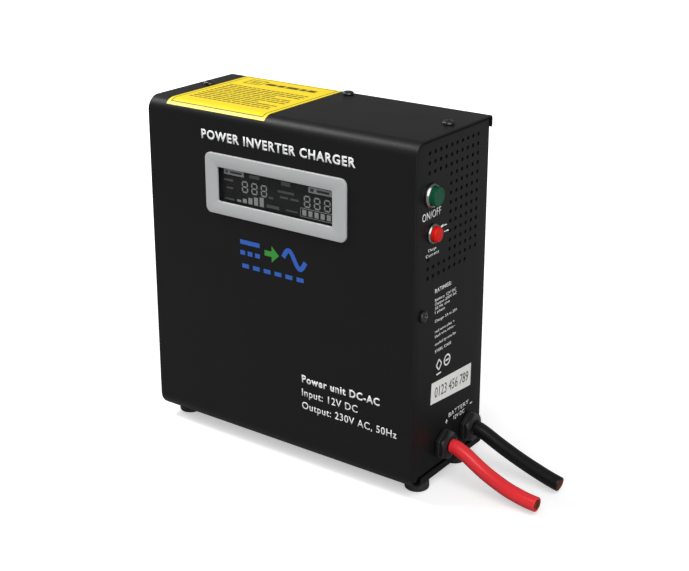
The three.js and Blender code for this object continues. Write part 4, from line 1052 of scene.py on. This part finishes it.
class INVERTER_OT_display(bpy.types.Operator):
    """Build the display's bezel and what its glass shows"""
    bl_idname = "inverter.display"
    bl_label = "Display"

    def execute(self, context):
        low, high = case_box("display_bezel")
        x, _, z = middle("display_bezel")
        width, height = high.x - low.x, high.z - low.z
        lens_low, lens_high = case_box("display_window")
        seat = (lens_high.x - lens_low.x + 0.7, lens_high.z - lens_low.z + 0.7)
        window = (seat[0] - 6, seat[1] - 6)
        collar = (seat[0] + 3.2, seat[1] + 3.2)
        front = low.y
        steps = [
            (width, height, 4.5, -0.35), (width, height, 4.5, front + 0.55),
            (width - 0.16, height - 0.16, 4.42, front + 0.24),
            (width - 0.5, height - 0.5, 4.25, front + 0.06), (width - 1.1, height - 1.1, 3.95, front),
            (window[0] + 1.0, window[1] + 1.0, 1.5, front), (window[0] + 0.5, window[1] + 0.5, 1.25, front + 0.1),
            (window[0] + 0.1, window[1] + 0.1, 1.05, front + 0.4), (window[0], window[1], 1.0, -0.75),
            (*seat, 0.5, -0.75), (*seat, 0.5, high.y), (*collar, 0.6, high.y), (*collar, 0.6, -0.35),
        ]
        rings = [[(u, y, v) for u, v in rounded(x, z, w, h, r)] for w, h, r, y in steps]
        bezel = smooth(Shape().loft(rings, closed=True).made("bezel_frame"), 26)
        grey = finish("satin grey bezel moulding", (0.43, 0.435, 0.44), 0.4, grain=0.5, depth=0.006, mottle=0.04,
                      patch=20)
        placed(bezel, "case", "grey_bezel", grey, "display_bezel")
        repaint(finish("clear display window", (0.01, 0.01, 0.011), 0.08, grain=0.4, depth=0.0, mottle=0.05, patch=30,
                       spread=0.02, Alpha=0.1, Specular_IOR_Level=0.3), "display_window")
        repaint(finish("dark liquid-crystal glass", (0.012, 0.0125, 0.013), 0.36, grain=0.5, depth=0.0, mottle=0.1,
                       patch=25, Specular_IOR_Level=0.25), "lcd_module")

        face = case_box("lcd_module")[0].y - 0.03
        left, bottom = x - window[0] / 2, z - window[1] / 2

        def at(u, v):
            return left + u * window[0], bottom + (1 - v) * window[1]

        bright, dim = Shape(), Shape()
        for start, down in ((0.19, 0.3), (0.275, 0.3), (0.36, 0.3), (0.735, 0.33), (0.82, 0.33), (0.905, 0.33)):
            u, v = at(start, down + 0.35)
            for a, b, c, d in SEGMENTS:
                w, h = 5.4, 8.2
                bar(bright, u + a * w, v + b * h, u + c * w, v + d * h, 0.5, face)
        for index, tall in enumerate((1.6, 3.0, 4.4, 5.6, 6.4)):
            u, v = at(0.145 + 0.051 * index, 0.95)
            bright.slab(rectangle(u, v, u + 3.4, v + tall), face - 0.04, face, "y")
        for u0, v0, u1, v1, shape in ((0.03, 0.21, 0.21, 0.055, bright), (0.775, 0.235, 0.975, 0.07, bright),
                                      (0.26, 0.19, 0.35, 0.09, dim), (0.54, 0.2, 0.62, 0.08, dim),
                                      (0.03, 0.4, 0.11, 0.34, dim), (0.05, 0.62, 0.11, 0.57, dim),
                                      (0.51, 0.42, 0.65, 0.35, dim), (0.53, 0.57, 0.6, 0.51, dim),
                                      (0.62, 0.57, 0.69, 0.51, dim), (0.03, 0.95, 0.12, 0.9, dim),
                                      (0.41, 0.93, 0.52, 0.84, dim), (0.58, 0.9, 0.68, 0.86, dim),
                                      (0.43, 0.66, 0.47, 0.6, dim)):
            shape.slab(rectangle(*at(u0, v0), *at(u1, v1)), face - 0.04, face, "y")
        a, b = at(0.705, 0.965)
        c, d = at(0.985, 0.71)
        for box in (rectangle(a, b, c, b + 0.35), rectangle(a, d - 0.35, c, d), rectangle(a, b, a + 0.35, d),
                    rectangle(c - 0.35, b, c, d)):
            bright.slab(box, face - 0.04, face, "y")
        for index in range(5):
            u = a + 1.6 + 4.95 * index
            bright.slab(rectangle(u, b + 1.1, u + 3.2, d - 1.1), face - 0.04, face, "y")
        dark = Shape()
        for u0, v0, u1, v1 in ((0.045, 0.165, 0.065, 0.1), (0.085, 0.16, 0.19, 0.105), (0.79, 0.2, 0.82, 0.11),
                               (0.845, 0.19, 0.95, 0.12)):
            dark.slab(rectangle(*at(u0, v0), *at(u1, v1)), face - 0.08, face - 0.045, "y")
        for shape, name, kind, colour, mottle in (
                (bright, "display_segments", "light liquid-crystal segments", (0.34, 0.35, 0.35), 0.08),
                (dim, "display_captions", "faint liquid-crystal segments", (0.085, 0.09, 0.09), 0.1),
                (dark, "display_lettering", "dark liquid-crystal lettering", (0.03, 0.032, 0.034), 0.1)):
            ink = finish(kind, colour, 0.4, grain=0.4, depth=0.001, mottle=mottle, patch=6)
            placed(shape.made(name, weld=INK_WELD), "case", "lcd_glass", ink)
        return {"FINISHED"}


# ---------------------------------------------------------------- buttons and glands


class INVERTER_OT_buttons(bpy.types.Operator):
    """Build the rings and caps of the two push-buttons"""
    bl_idname = "inverter.buttons"
    bl_label = "Push-buttons"

    def execute(self, context):
        settings = context.scene.inverter_controls
        kinds = (("power_button", "power_cap", settings.green, "button_green", 0.55),
                 ("current_button", "current_cap", settings.red, "button_red", 1.5))
        for name, body, colour, slot, soften in kinds:
            low, high = case_box(f"{name}_ring")
            centre = (low.x, *middle(f"{name}_ring").yz)
            outer, tall = (high.z - low.z) / 2, high.x - low.x
            cap_low, cap_high = case_box(f"{name}_cap")
            cap, top = (cap_high.z - cap_low.z) / 2, cap_high.x - low.x
            bore = cap + CLEARANCE
            profile = [(bore, 0), (outer - 0.1, 0), (outer, 0.15), (outer, tall * 0.42), (outer - 0.22, tall * 0.62),
                       (outer - 0.75, tall * 0.88), (outer - 1.0, tall), (bore + 0.5, tall),
                       (bore + 0.1, tall - 0.12),
                       (bore, tall - 0.45), (bore, 0)]
            ring = smooth(Shape().turn(profile, centre, "x", 72).made(f"{name}_bezel_ring"), 30)
            placed(ring, "case", "button_steel", nickel(), f"{name}_ring")
            sides = [(0, cap_low.x - low.x), (cap - 0.2, cap_low.x - low.x), (cap, cap_low.x - low.x + 0.2)]
            if soften < 1:
                crown = [(cap, top - soften), (cap - 0.08, top - 0.26), (cap - 0.28, top - 0.07), (cap - 0.6, top),
                         (cap - 1.25, top - 0.02), (cap - 1.55, top - 0.16), (cap - 2.0, top - 0.2), (0, top - 0.2)]
            else:
                crown = [(cap, top - soften), (cap - 0.1, top - 1.1), (cap - 0.5, top - 0.55), (cap - 1.1, top - 0.2),
                         (cap - 1.9, top - 0.03), (cap - 2.6, top), (0, top)]
            piece = smooth(Shape().turn(sides + crown, centre, "x", 72).made(f"{name}_push_cap"), 28)
            placed(piece, body, slot, cap_moulding(slot, colour, Specular_IOR_Level=0.16), f"{name}_cap")
        repaint(nickel(), "power_button_nut", "current_button_nut")
        repaint(black_nylon(), "power_button_body", "current_button_body")
        return {"FINISHED"}


class INVERTER_OT_glands(bpy.types.Operator):
    """Build the two cable glands: hexagon flange, dome nut with its flats and the lip round the lead"""
    bl_idname = "inverter.glands"
    bl_label = "Cable glands"

    def execute(self, context):
        for name in ("positive", "negative"):
            low, high = case_box(f"{name}_gland_nut")
            _, y, z = middle(f"{name}_gland_nut")
            base, top = low.x, high.x
            flange_low, flange_high = case_box(f"{name}_gland_body")
            flats = flange_high.y - flange_low.y
            steps = [(flats - 1.0, RIGHT_FACE + CLEARANCE, 1.2), (flats, RIGHT_FACE + CLEARANCE + 0.5, 0.9),
                     (flats, base - CLEARANCE - 0.5, 0.9), (flats - 1.0, base - CLEARANCE, 1.2)]
            rings = [[(x, u, v) for u, v in hexagon(y, z, size, r)] for size, x, r in steps]
            flange = Shape().loft(rings, closed=False)
            flange.turn([(0, flange_low.x), (7.2, flange_low.x), (7.5, flange_low.x + 0.5), (7.5, base - 1.5),
                         (0, base - 1.5)],
                        (0, y, z), "x", 40)
            placed(smooth(flange.made(f"{name}_gland_flange"), 30), "case", "black_plastic", black_nylon(),
                   f"{name}_gland_body")
            flats -= 1
            tall = top - base
            nut = Shape().loft([[(x, u, v) for u, v in hexagon(y, z, flats, 0.6)]
                                for x in (base, base + tall * 0.97)], closed=False)
            nut = nut.made(f"{name}_gland_dome")
            corner = flats / sqrt(3)
            lip, mouth = 6.5, 5.3
            dome = [(0, -1), (corner + 1.5, -1), (corner + 1.5, tall * 0.22), (corner * 0.99, tall * 0.36),
                    (corner * 0.9, tall * 0.62), (corner * 0.78, tall * 0.84), (lip + 0.4, tall * 0.96), (lip, tall),
                    (mouth + 0.4, tall), (mouth, tall - 0.3), (mouth, tall - 1.2), (0, tall - 1.2)]
            tool = Shape().turn(dome, (base, y, z), "x", 64).made("dome")
            combined(nut, tool, "INTERSECT")
            bevelled(nut, 0.25, 2, 28)
            placed(nut, "case", "black_plastic", black_nylon(), f"{name}_gland_nut")
            repaint(black_nylon(), f"{name}_gland_locknut")
        return {"FINISHED"}


# ---------------------------------------------------------------- fan and sockets


class INVERTER_OT_fan(bpy.types.Operator):
    """Build the fan's rotor with its curved blades, and finish its frame"""
    bl_idname = "inverter.fan"
    bl_label = "Fan"

    def execute(self, context):
        low, high = case_box("fan_rotor")
        centre = middle("fan_frame")
        centre.x = 0
        tall = high.x - low.x
        hub = Shape()
        profile = [(0, 0), (15.5, 0), (17.2, 0.5), (18, 1.6), (18, tall), (16.6, tall), (16.6, tall - 1),
                   (0, tall - 1)]
        hub.turn(profile, (low.x, centre.y, centre.z), "x", 56)
        hub = smooth(hub.made("fan_rotor_hub"), 30)
        root, tip, steps = 17, 36.9, 8
        chord = tall - 2.2
        rings = []
        for step in range(steps + 1):
            r = root + (tip - root) * step / steps
            lean = 0.16 * (r - root) / 20
            pitch = radians(46 - 14 * step / steps)
            front, back = [], []
            for k in range(7):
                s = (k / 6 - 0.5) * chord
                bow = 1.6 * (1 - (2 * s / chord) ** 2)
                sweep = s * sin(pitch) * 0.75 + bow
                angle = sweep / r + lean
                for line, thick in ((front, 0.55), (back, -0.55)):
                    turn = angle + thick / r
                    line.append((low.x + tall / 2 + s * 0.98, r * sin(turn), r * cos(turn)))
            rings.append(front + back[::-1])
        part = smooth(master(Shape().loft(rings, closed=False), "fan blade"), 40)
        ring_tree().run(hub, black_nylon(), Blade=part, Blades=7, Centre=TO_ROW @ centre)
        bpy.data.objects.remove(part)
        placed(hub, "fan_rotor", "black_plastic", black_nylon(), "fan_rotor")
        repaint(black_nylon(), "fan_frame")
        return {"FINISHED"}


class INVERTER_OT_sockets(bpy.types.Operator):
    """Build the mains outlet and inlet and the resettable breaker on the left end"""
    bl_idname = "inverter.sockets"
    bl_label = "Sockets and breaker"

    def execute(self, context):
        low, high = case_box("mains_outlet")
        _, y, z = middle("mains_outlet")
        plate = high.z - low.z
        face, back = low.x, high.x
        floor = face + 17.5
        edge = LEFT_FACE - CLEARANCE
        barrel, cup_r, contact_r, pin_r = 22.3, 19.5, 2.6, 2.75
        body = Shape().loft([[(x, u, v) for u, v in rounded(y, z, plate - cut, plate - cut, 5 - cut / 2, 9)]
                             for cut, x in ((0, edge), (0, face + 0.9), (0.5, face + 0.3), (1.6, face))],
                            closed=False)
        body = body.made("outlet_body")
        profile = [(0, edge - 0.3), (barrel, edge - 0.3), (barrel, back - 0.6), (barrel - 0.6, back), (0, back)]
        combined(body, Shape().turn(profile, (0, y, z), "x", 72).made("barrel"), "UNION")
        profile = [(0, face - 2), (cup_r + 1.2, face - 2), (cup_r + 1.2, face), (cup_r + 0.5, face + 0.25),
                   (cup_r, face + 0.9), (cup_r, floor - 1), (cup_r - 0.7, floor), (0, floor)]
        cup = Shape().turn(profile, (0, y, z), "x", 72)
        combined(body, cup.made("cup"), "DIFFERENCE")
        holes = Shape()
        for side in (-9.5, 9.5):
            profile = [(0, floor - 1), (contact_r + 0.7, floor - 1), (contact_r + 0.7, floor),
                       (contact_r, floor + 0.7), (contact_r, back + 1), (0, back + 1)]
            holes.turn(profile, (0, y + side, z), "x", 32)
        profile = [(0, floor - 1), (pin_r, floor - 1), (pin_r, back + 1), (0, back + 1)]
        holes.turn(profile, (0, y, z + 10), "x", 32)
        combined(body, holes.made("holes"), "DIFFERENCE")
        smooth(body, 30)
        placed(body, "case", "black_plastic", black_nylon(), "mains_outlet")
        pin_low, pin_high = case_box("outlet_earth_pin")
        _, pin_y, pin_z = middle("outlet_earth_pin")
        r, long = (pin_high.z - pin_low.z) / 2, pin_high.x - pin_low.x
        profile = [(0, 0), (r * 0.42, 0.06), (r * 0.72, 0.35), (r * 0.93, 0.95), (r, 1.7), (r, long), (0, long)]
        pin = smooth(Shape().turn(profile, (pin_low.x, pin_y, pin_z), "x", 40).made("outlet_pin"), 34)
        placed(pin, "case", "brass", brass(), "outlet_earth_pin")

        low, high = case_box("mains_inlet")
        _, y, z = middle("mains_inlet")
        wide, tall = high.y - low.y, high.z - low.z
        body = Shape().loft([[(x, u, v) for u, v in rounded(y, z, wide - cut, tall - cut, 2.2 - cut / 2, 8)]
                             for cut, x in ((0, edge), (0, low.x + 0.7), (0.4, low.x + 0.2), (1.2, low.x))],
                            closed=False).made("inlet_body")
        combined(body, Shape().slab(rounded(y, z, wide - 4, tall - 4, 1.5), edge - 0.3, high.x, "x").made("barrel"),
                 "UNION")
        across, up, cut = 12.1, 8.4, 4.2
        mouth = [(y - across, z - up), (y + across, z - up), (y + across, z + up - cut), (y + across - cut, z + up),
                 (y - across + cut, z + up), (y - across, z + up - cut)]
        combined(body, Shape().slab(mouth, low.x - 1, high.x + 1, "x").made("mouth"), "DIFFERENCE")
        bevelled(body, 0.3, 2, 32)
        placed(body, "case", "black_plastic", black_nylon(), "mains_inlet")
        low, high = case_box("inlet_contacts")
        back = high.x - 4
        carrier = Shape().slab(rounded(y, z, 23.4, 16, 0.8), back - 4, back, "x").made("inlet_carrier")
        placed(bevelled(carrier, 0.2), "case", "black_plastic", black_nylon())
        blades = Shape()
        for across, up in ((-7, -2), (0, 2), (7, -2)):
            rings = [[(x, u, v) for u, v in rounded(y + across, z + up, 2 - 2 * cut, 4 - 2 * cut, 0.35, 4)]
                     for cut, x in ((0.55, low.x), (0.2, low.x + 0.35), (0, low.x + 1.1), (0, high.x))]
            blades.loft(rings, closed=False)
        placed(smooth(blades.made("inlet_blades"), 35), "case", "brass", brass(), "inlet_contacts")
        repaint(brass(), "positive_post", "negative_post")

        low, high = case_box("breaker_nut")
        _, y, z = middle("breaker_nut")
        nut = Shape().turn([(5.35, low.x), (7.0, low.x), (7.7, low.x + 0.35), (8, low.x + 0.9), (8, high.x),
                            (5.35, high.x), (5.35, low.x)],
                           (0, y, z), "x", 48).made("breaker_collar")
        knurls = Shape()
        for i in range(24):
            angle = 2 * pi * i / 24
            knurls.slab(arc(y + 8.05 * cos(angle), z + 8.05 * sin(angle), 0.42, 0, 315, 8), low.x - 1, high.x + 1,
                        "x")
        combined(nut, knurls.made("knurls"), "DIFFERENCE")
        placed(smooth(nut, 30), "case", "button_steel", nickel(), "breaker_nut")
        low, high = case_box("breaker_button")
        r, long = (high.z - low.z) / 2, high.x - low.x
        profile = [(0, 0), (r - 0.9, 0.02), (r - 0.35, 0.22), (r, 0.8), (r, long), (0, long)]
        cap = smooth(Shape().turn(profile, (low.x, y, z), "x", 40).made("breaker_push_cap"), 34)
        shell = cap_moulding("button_red", context.scene.inverter_controls.red)
        placed(cap, "breaker_cap", "button_red", shell, "breaker_button")
        repaint(black_nylon(), "breaker_body")
        return {"FINISHED"}


class INVERTER_OT_inner_parts(bpy.types.Operator):
    """Finish the transformer, boards, heatsink, capacitors and relay"""
    bl_idname = "inverter.inner_parts"
    bl_label = "Inner parts"

    def execute(self, context):
        repaint(finish("varnished laminations", (0.05, 0.05, 0.055), 0.45, metallic=0.6, grain=0.8, depth=0.01,
                       mottle=0.2,
                       waves=("Y", 1.0, 0.05, 0.5)), "transformer_core")
        repaint(finish("enamelled winding", (0.3, 0.09, 0.03), 0.35, metallic=0.7, grain=0.8, depth=0.01, mottle=0.15,
                       waves=("Z", 1.6, 0.3, 0.6)), "transformer_winding")
        repaint(zinc(), "transformer_strap")
        repaint(finish("extruded aluminium", (0.5, 0.51, 0.52), 0.42, metallic=1.0, grain=0.4, depth=0.006,
                       mottle=0.08,
                       stretch=(1, 1, 0.1)), "heatsink")
        repaint(finish("green circuit board", (0.012, 0.09, 0.035), 0.35, grain=1.2, depth=0.01, mottle=0.25,
                       patch=3),
                "main_board", "display_board")
        repaint(finish("capacitor sleeve", (0.008, 0.012, 0.04), 0.3, grain=1, depth=0.01, mottle=0.1),
                "capacitor_upper",
                "capacitor_lower")
        repaint(black_nylon(), "relay")
        return {"FINISHED"}


# ---------------------------------------------------------------- printing and labels


def lettering(name, words, side, place, tall, wide, bold=0.0, lean=0.0, spacing=1.0, thick=0.05):
    """Generic printed words as thin raised ink.

    side is "front" or "end", place is (x or y, z) of the baseline's start, and lean turns the line in degrees.
    """
    text = bpy.data.curves.new(name, "FONT")
    text.body = words
    text.size = 1.0
    text.offset = bold
    text.space_character = spacing
    text.resolution_u = 3
    text.extrude = 0.0
    source = bpy.data.objects.new(name, text)
    bpy.context.scene.collection.objects.link(source)
    bpy.context.view_layer.update()
    graph = bpy.context.evaluated_depsgraph_get()
    data = bpy.data.meshes.new_from_object(source.evaluated_get(graph))
    bpy.data.objects.remove(source)
    points = [vertex.co for vertex in data.vertices]
    start, stop = min(p.x for p in points), max(p.x for p in points)
    cap = 0.69
    scale = tall / cap
    stretch = wide / (stop - start)
    turn = radians(lean)
    sheet = bmesh.new()
    sheet.from_mesh(data)
    for vertex in sheet.verts:
        u, v = (vertex.co.x - start) * stretch, vertex.co.y * scale
        u, v = u * cos(turn) - v * sin(turn), u * sin(turn) + v * cos(turn)
        if side == "front":
            vertex.co = (place[0] + u, -0.02, place[1] + v)
        else:
            vertex.co = (RIGHT_FACE + 0.02, place[0] + u, place[1] + v)
    bmesh.ops.remove_doubles(sheet, verts=sheet.verts, dist=0.001)
    out = Vector((0, -1, 0)) if side == "front" else Vector((1, 0, 0))
    sheet.normal_update()
    for polygon in sheet.faces:
        if polygon.normal.dot(out) < 0:
            polygon.normal_flip()
    grown = bmesh.ops.extrude_face_region(sheet, geom=sheet.faces[:])
    moved = [item for item in grown["geom"] if isinstance(item, bmesh.types.BMVert)]
    bmesh.ops.translate(sheet, verts=moved, vec=out * thick)
    shape = Shape()
    shape.mesh.free()
    shape.mesh = sheet
    return shape.made(name, weld=INK_WELD)


def stroke(shape, points, width, side, lift=0.02, thick=0.05):
    """A band of ink along a line of (u, v) points."""
    left, right = [], []
    for i, (u, v) in enumerate(points):
        a, b = points[max(i - 1, 0)], points[min(i + 1, len(points) - 1)]
        length = hypot(b[0] - a[0], b[1] - a[1])
        nu, nv = -(b[1] - a[1]) / length * width / 2, (b[0] - a[0]) / length * width / 2
        left.append((u + nu, v + nv))
        right.append((u - nu, v - nv))
    for a, b, c, d in zip(left, left[1:], right, right[1:]):
        corners = [a, b, d, c]
        if side == "front":
            rings = [[(u, y, v) for u, v in corners] for y in (-lift, -lift - thick)]
        else:
            rings = [[(x, u, v) for u, v in corners] for x in (RIGHT_FACE + lift, RIGHT_FACE + lift + thick)]
        shape.loft(rings, closed=False)


def top_line(y):
    """A point on the cover's outside at a distance y along its top, going over the front bend below TOP_BEND."""
    if y >= TOP_BEND:
        return y, HEIGHT
    angle = (TOP_BEND - y) / TOP_BEND
    return TOP_BEND - TOP_BEND * sin(angle), HEIGHT - TOP_BEND + TOP_BEND * cos(angle)


def wrapped(shape, x0, x1, from_y, to_y, lift, thick):
    """A sheet on the top that follows the front bend, between two distances from the front."""
    count = max(2, ceil(abs(to_y - from_y) / 1.5))
    inner, outer = [], []
    for i in range(count + 1):
        y = from_y + (to_y - from_y) * i / count
        point = Vector((0, *top_line(y)))
        angle = max(0, (TOP_BEND - y) / TOP_BEND)
        normal = Vector((0, -sin(angle), cos(angle)))
        inner.append(point + normal * lift)
        outer.append(point + normal * (lift + thick))
    ring = inner + outer[::-1]
    shape.loft([[(x, p.y, p.z) for p in ring] for x in (x0, x1)], closed=False)


class INVERTER_OT_labels(bpy.types.Operator):
    """Build the printed lettering, the front sign, the yellow label and the white label, all generic"""
    bl_idname = "inverter.labels"
    bl_label = "Printing and labels"

    def execute(self, context):
        settings = context.scene.inverter_labels
        white = print_ink()
        captions = (
            ("title_print", "POWER INVERTER CHARGER", "front", (48.3, 213.9), 6.0, 127.0, 0.03, 0, 1.16),
            ("rating_print_upper", "Power unit DC-AC", "front", (131.5, 55.8), 5.2, 63.5, 0.03, 0, 1.14),
            ("rating_print_middle", "Input: 12V DC", "front", (131.5, 45.8), 5.2, 46.0, 0.006, 0, 1.1),
            ("rating_print_lower", "Output: 230V AC, 50Hz", "front", (131.5, 36.2), 5.2, 77.0, 0.006, 0, 1.1),
            ("power_caption", "ON/OFF", "end", (9.6, 183.6), 5.1, 21.8, 0.004, 1.2, 1.06),
            ("charge_caption_upper", "Charge", "end", (17.0, 162.0), 2.0, 9.5, 0.01, 0, 1.1),
            ("charge_caption_lower", "Current", "end", (14.5, 158.6), 2.0, 15.5, 0.01, 0, 1.1),
            ("battery_caption", "BATTERY", "end", (47.5, 35.4), 3.1, 26.0, 0.01, 0.4, 1.1),
            ("voltage_caption", "12V DC", "end", (54.0, 31.0), 2.9, 14.0, 0.01, 0.4, 1.1),
            ("positive_mark", "+", "end", (43.4, 31.0), 4.6, 3.0, 0.02, 0, 1.0),
            ("negative_mark", "-", "end", (75.4, 33.2), 4.6, 3.0, 0.02, 0, 1.0),
            ("info_heading", "RATINGS:", "end", (26.4, 131.6), 2.7, 20.0, 0.025, 0, 1.1),
            ("info_battery", "Battery 12V DC", "end", (26.5, 125.8), 1.9, 26.0, 0.008, 0, 1.08),
            ("info_output", "Output 230V AC", "end", (26.6, 122.9), 1.9, 27.0, 0.008, 0, 1.08),
            ("info_frequency", "50 Hz sine", "end", (26.7, 120.0), 1.9, 18.0, 0.008, 0, 1.08),
            ("info_phase", "1 phase", "end", (26.8, 117.1), 1.9, 12.0, 0.008, 0, 1.08),
            ("info_charger", "Charger 5A to 20A", "end", (27.0, 111.0), 1.9, 27.5, 0.008, 0, 1.08),
            ("info_wire_red", "red wire plus +", "end", (27.4, 103.6), 1.9, 24.0, 0.008, 0, 1.08),
            ("info_wire_black", "black wire minus -", "end", (27.5, 100.2), 1.9, 25.0, 0.008, 0, 1.08),
            ("info_cooling", "cooled by one fan", "end", (27.7, 94.6), 1.9, 26.0, 0.008, 0, 1.08),
            ("info_case", "STEEL CASE", "end", (28.0, 89.4), 1.9, 20.0, 0.02, 0, 1.08),
        )
        for name, words, side, place, tall, wide, bold, lean, spacing in captions:
            placed(lettering(name, words, side, place, tall, wide, bold, lean, spacing), "case", "clear_window",
                   white)

        small = Shape()
        stroke(small, [(31.6, 174.9), (34.6, 175.5)], 1.5, "end")
        stroke(small, [(35.4, 175.2), (38.6, 174.9)], 0.8, "end")
        stroke(small, [(35.6, 170.9), (37.4, 170.8)], 0.8, "end")
        stroke(small, [(38.2, 170.8), (41.2, 170.4)], 0.9, "end")
        stroke(small, [(43.4 + 3.6 * cos(radians(a)), 79.4 + 3.6 * sin(radians(a))) for a in range(0, 361, 15)],
               1.1, "end")
        stroke(small, [(41.2, 79.4), (45.6, 79.4)], 1.1, "end")
        for start, stop in (((33.2, 83.4), (29.9, 79.6)), ((29.9, 79.6), (33.2, 75.8)), ((33.2, 75.8), (36.5, 79.6)),
                            ((36.5, 79.6), (33.2, 83.4)), ((30.4, 73.2), (36, 73.2))):
            stroke(small, [start, stop], 1.0, "end")
        placed(small.made("small_print_signs", weld=INK_WELD), "case", "clear_window", white)

        blue, green = (finish(f"{name} sign print", colour, 0.45, grain=0.3, depth=0.004, mottle=0.05, patch=6)
                       for name, colour in (("blue", settings.sign_blue), ("green", settings.sign_green)))
        sign = Shape()
        stroke(sign, [(80, 146.2), (97, 146.2)], 3.2, "front")
        for x in (80, 86.4, 92.8):
            stroke(sign, [(x, 138.6), (x + 4.2, 138.6)], 3.2, "front")
        wave = [(117 + 18.5 * i / 40, 142.4 + 5.6 * sin(2 * pi * i / 40)) for i in range(41)]
        stroke(sign, wave, 3.4, "front")
        for x in range(6):
            stroke(sign, [(81.5 + 9.3 * x, 129.2), (87.3 + 9.3 * x, 129.2)], 3.0, "front")
        placed(sign.made("sign_blue", weld=INK_WELD), "case", "lcd_glass", blue)
        arrow = Shape()
        arrow.slab([(101.2, 144.3), (101.2, 140.5), (107.2, 140.5), (107.2, 136.6), (113.4, 142.4), (107.2, 148.2),
                    (107.2, 144.3)][::-1],
                   -0.07, -0.02, "y")
        placed(arrow.made("sign_green", weld=INK_WELD), "case", "button_green", green)

        yellow = finish("yellow label vinyl", settings.yellow, 0.42, grain=0.4, depth=0.004, mottle=0.03, patch=14)
        dark = label_ink("dark", (0.07, 0.052, 0.004))
        x0, x1, near, far = 15.2, 101.0, 1.2, 89.6
        label = Shape()
        wrapped(label, x0, x1, near, far, 0.02, 0.1)
        placed(smooth(label.made("top_label", weld=INK_WELD), 30), "case", "grey_bezel", yellow)
        lines = Shape()
        inset, pen = 2.6, 0.7
        for y in (near + inset, far - inset):
            wrapped(lines, x0 + inset, x1 - inset, y, y + pen, 0.125, 0.03)
        for x in (x0 + inset, x1 - inset - pen):
            wrapped(lines, x, x + pen, near + inset, far - inset + pen, 0.125, 0.03)
        for row in range(11):
            at = x0 + 7
            word = 0
            end = x1 - 8 - (row % 4 == 3) * 18
            while at < end - 3:
                step = min(end - at, 4.2 + (row * 7 + word * 5) % 5 * 2.2)
                wrapped(lines, at, at + step - 0.9, 17.5 + 4.3 * row, 19.2 + 4.3 * row, 0.125, 0.03)
                at += step
                word += 1
        for at, long in ((44, 9), (54.5, 6), (62, 11), (74.5, 5), (81, 7)):
            wrapped(lines, at, at + long, 73.5, 78.5, 0.125, 0.03)
        outer = [(27, 71), (41, 71), (41, 82), (27, 82)]
        for (a, b), (c, d) in zip(outer, outer[1:] + outer[:1]):
            wrapped(lines, min(a, c) - 0.5, max(a, c) + 0.5, min(b, d) - 0.5, max(b, d) + 0.5, 0.125, 0.03)
        wrapped(lines, 30, 38, 74.2, 75.6, 0.125, 0.03)
        wrapped(lines, 30, 38, 77.4, 78.8, 0.125, 0.03)
        placed(lines.made("top_label_print", weld=INK_WELD), "case", "black_plastic", dark)

        paper = finish("white paper label", (0.82, 0.82, 0.8), 0.55, grain=0.4, depth=0.004, mottle=0.03, patch=9)
        black = label_ink("black", (0.015, 0.015, 0.015))
        corners = [(24.6, 68.9), (23.7, 53.9), (74.9, 49.0), (75.2, 65.5)]
        plate = Shape().loft([[(RIGHT_FACE + h, u, v) for u, v in corners] for h in (0.02, 0.12)], closed=False)
        placed(plate.made("end_label", weld=INK_WELD), "case", "grey_bezel", paper)
        digits = lettering("end_label_digits", "0123 456 789", "end", (28.4, 57.2), 7.2, 43.0, 0.0, -4.4)
        for vertex in digits.data.vertices:
            vertex.co.x += 0.11 * MM
        placed(digits, "case", "black_plastic", black)
        return {"FINISHED"}


class INVERTER_PT_panel(bpy.types.Panel):
    """Lists the pieces of the inverter"""
    bl_idname = "INVERTER_PT_panel"
    bl_label = "Power Inverter"
    bl_space_type = "VIEW_3D"
    bl_region_type = "UI"
    bl_category = "Inverter"

    def draw(self, context):
        for group in (context.scene.inverter_case, context.scene.inverter_vents, context.scene.inverter_controls,
                      context.scene.inverter_leads, context.scene.inverter_labels, context.scene.inverter_studio):
            box = self.layout.box()
            for key in group.bl_rna.properties.keys():
                if key not in ("rna_type", "name"):
                    box.prop(group, key)
        for step in STEPS:
            self.layout.operator(step.bl_idname)


SETTINGS = {
    "inverter_case": CaseSettings,
    "inverter_vents": VentSettings,
    "inverter_controls": ControlSettings,
    "inverter_leads": LeadSettings,
    "inverter_labels": LabelSettings,
    "inverter_studio": StudioSettings,
}
STEPS = (
    INVERTER_OT_stage,
    INVERTER_OT_leads,
    INVERTER_OT_cover,
    INVERTER_OT_end_panels,
    INVERTER_OT_screws,
    INVERTER_OT_feet,
    INVERTER_OT_display,
    INVERTER_OT_buttons,
    INVERTER_OT_glands,
    INVERTER_OT_fan,
    INVERTER_OT_sockets,
    INVERTER_OT_inner_parts,
    INVERTER_OT_labels,
)


def register():
    for group in (*SETTINGS.values(), *STEPS, INVERTER_PT_panel):
        bpy.utils.register_class(group)
    for name, group in SETTINGS.items():
        setattr(bpy.types.Scene, name, PointerProperty(type=group))


def unregister():
    for name in SETTINGS:
        delattr(bpy.types.Scene, name)
    for group in (INVERTER_PT_panel, *reversed(STEPS), *reversed(SETTINGS.values())):
        bpy.utils.unregister_class(group)


def main():
    register()
    for step in STEPS:
        group, name = step.bl_idname.split(".")
        getattr(getattr(bpy.ops, group), name)()


if __name__ == "__main__":
    main()
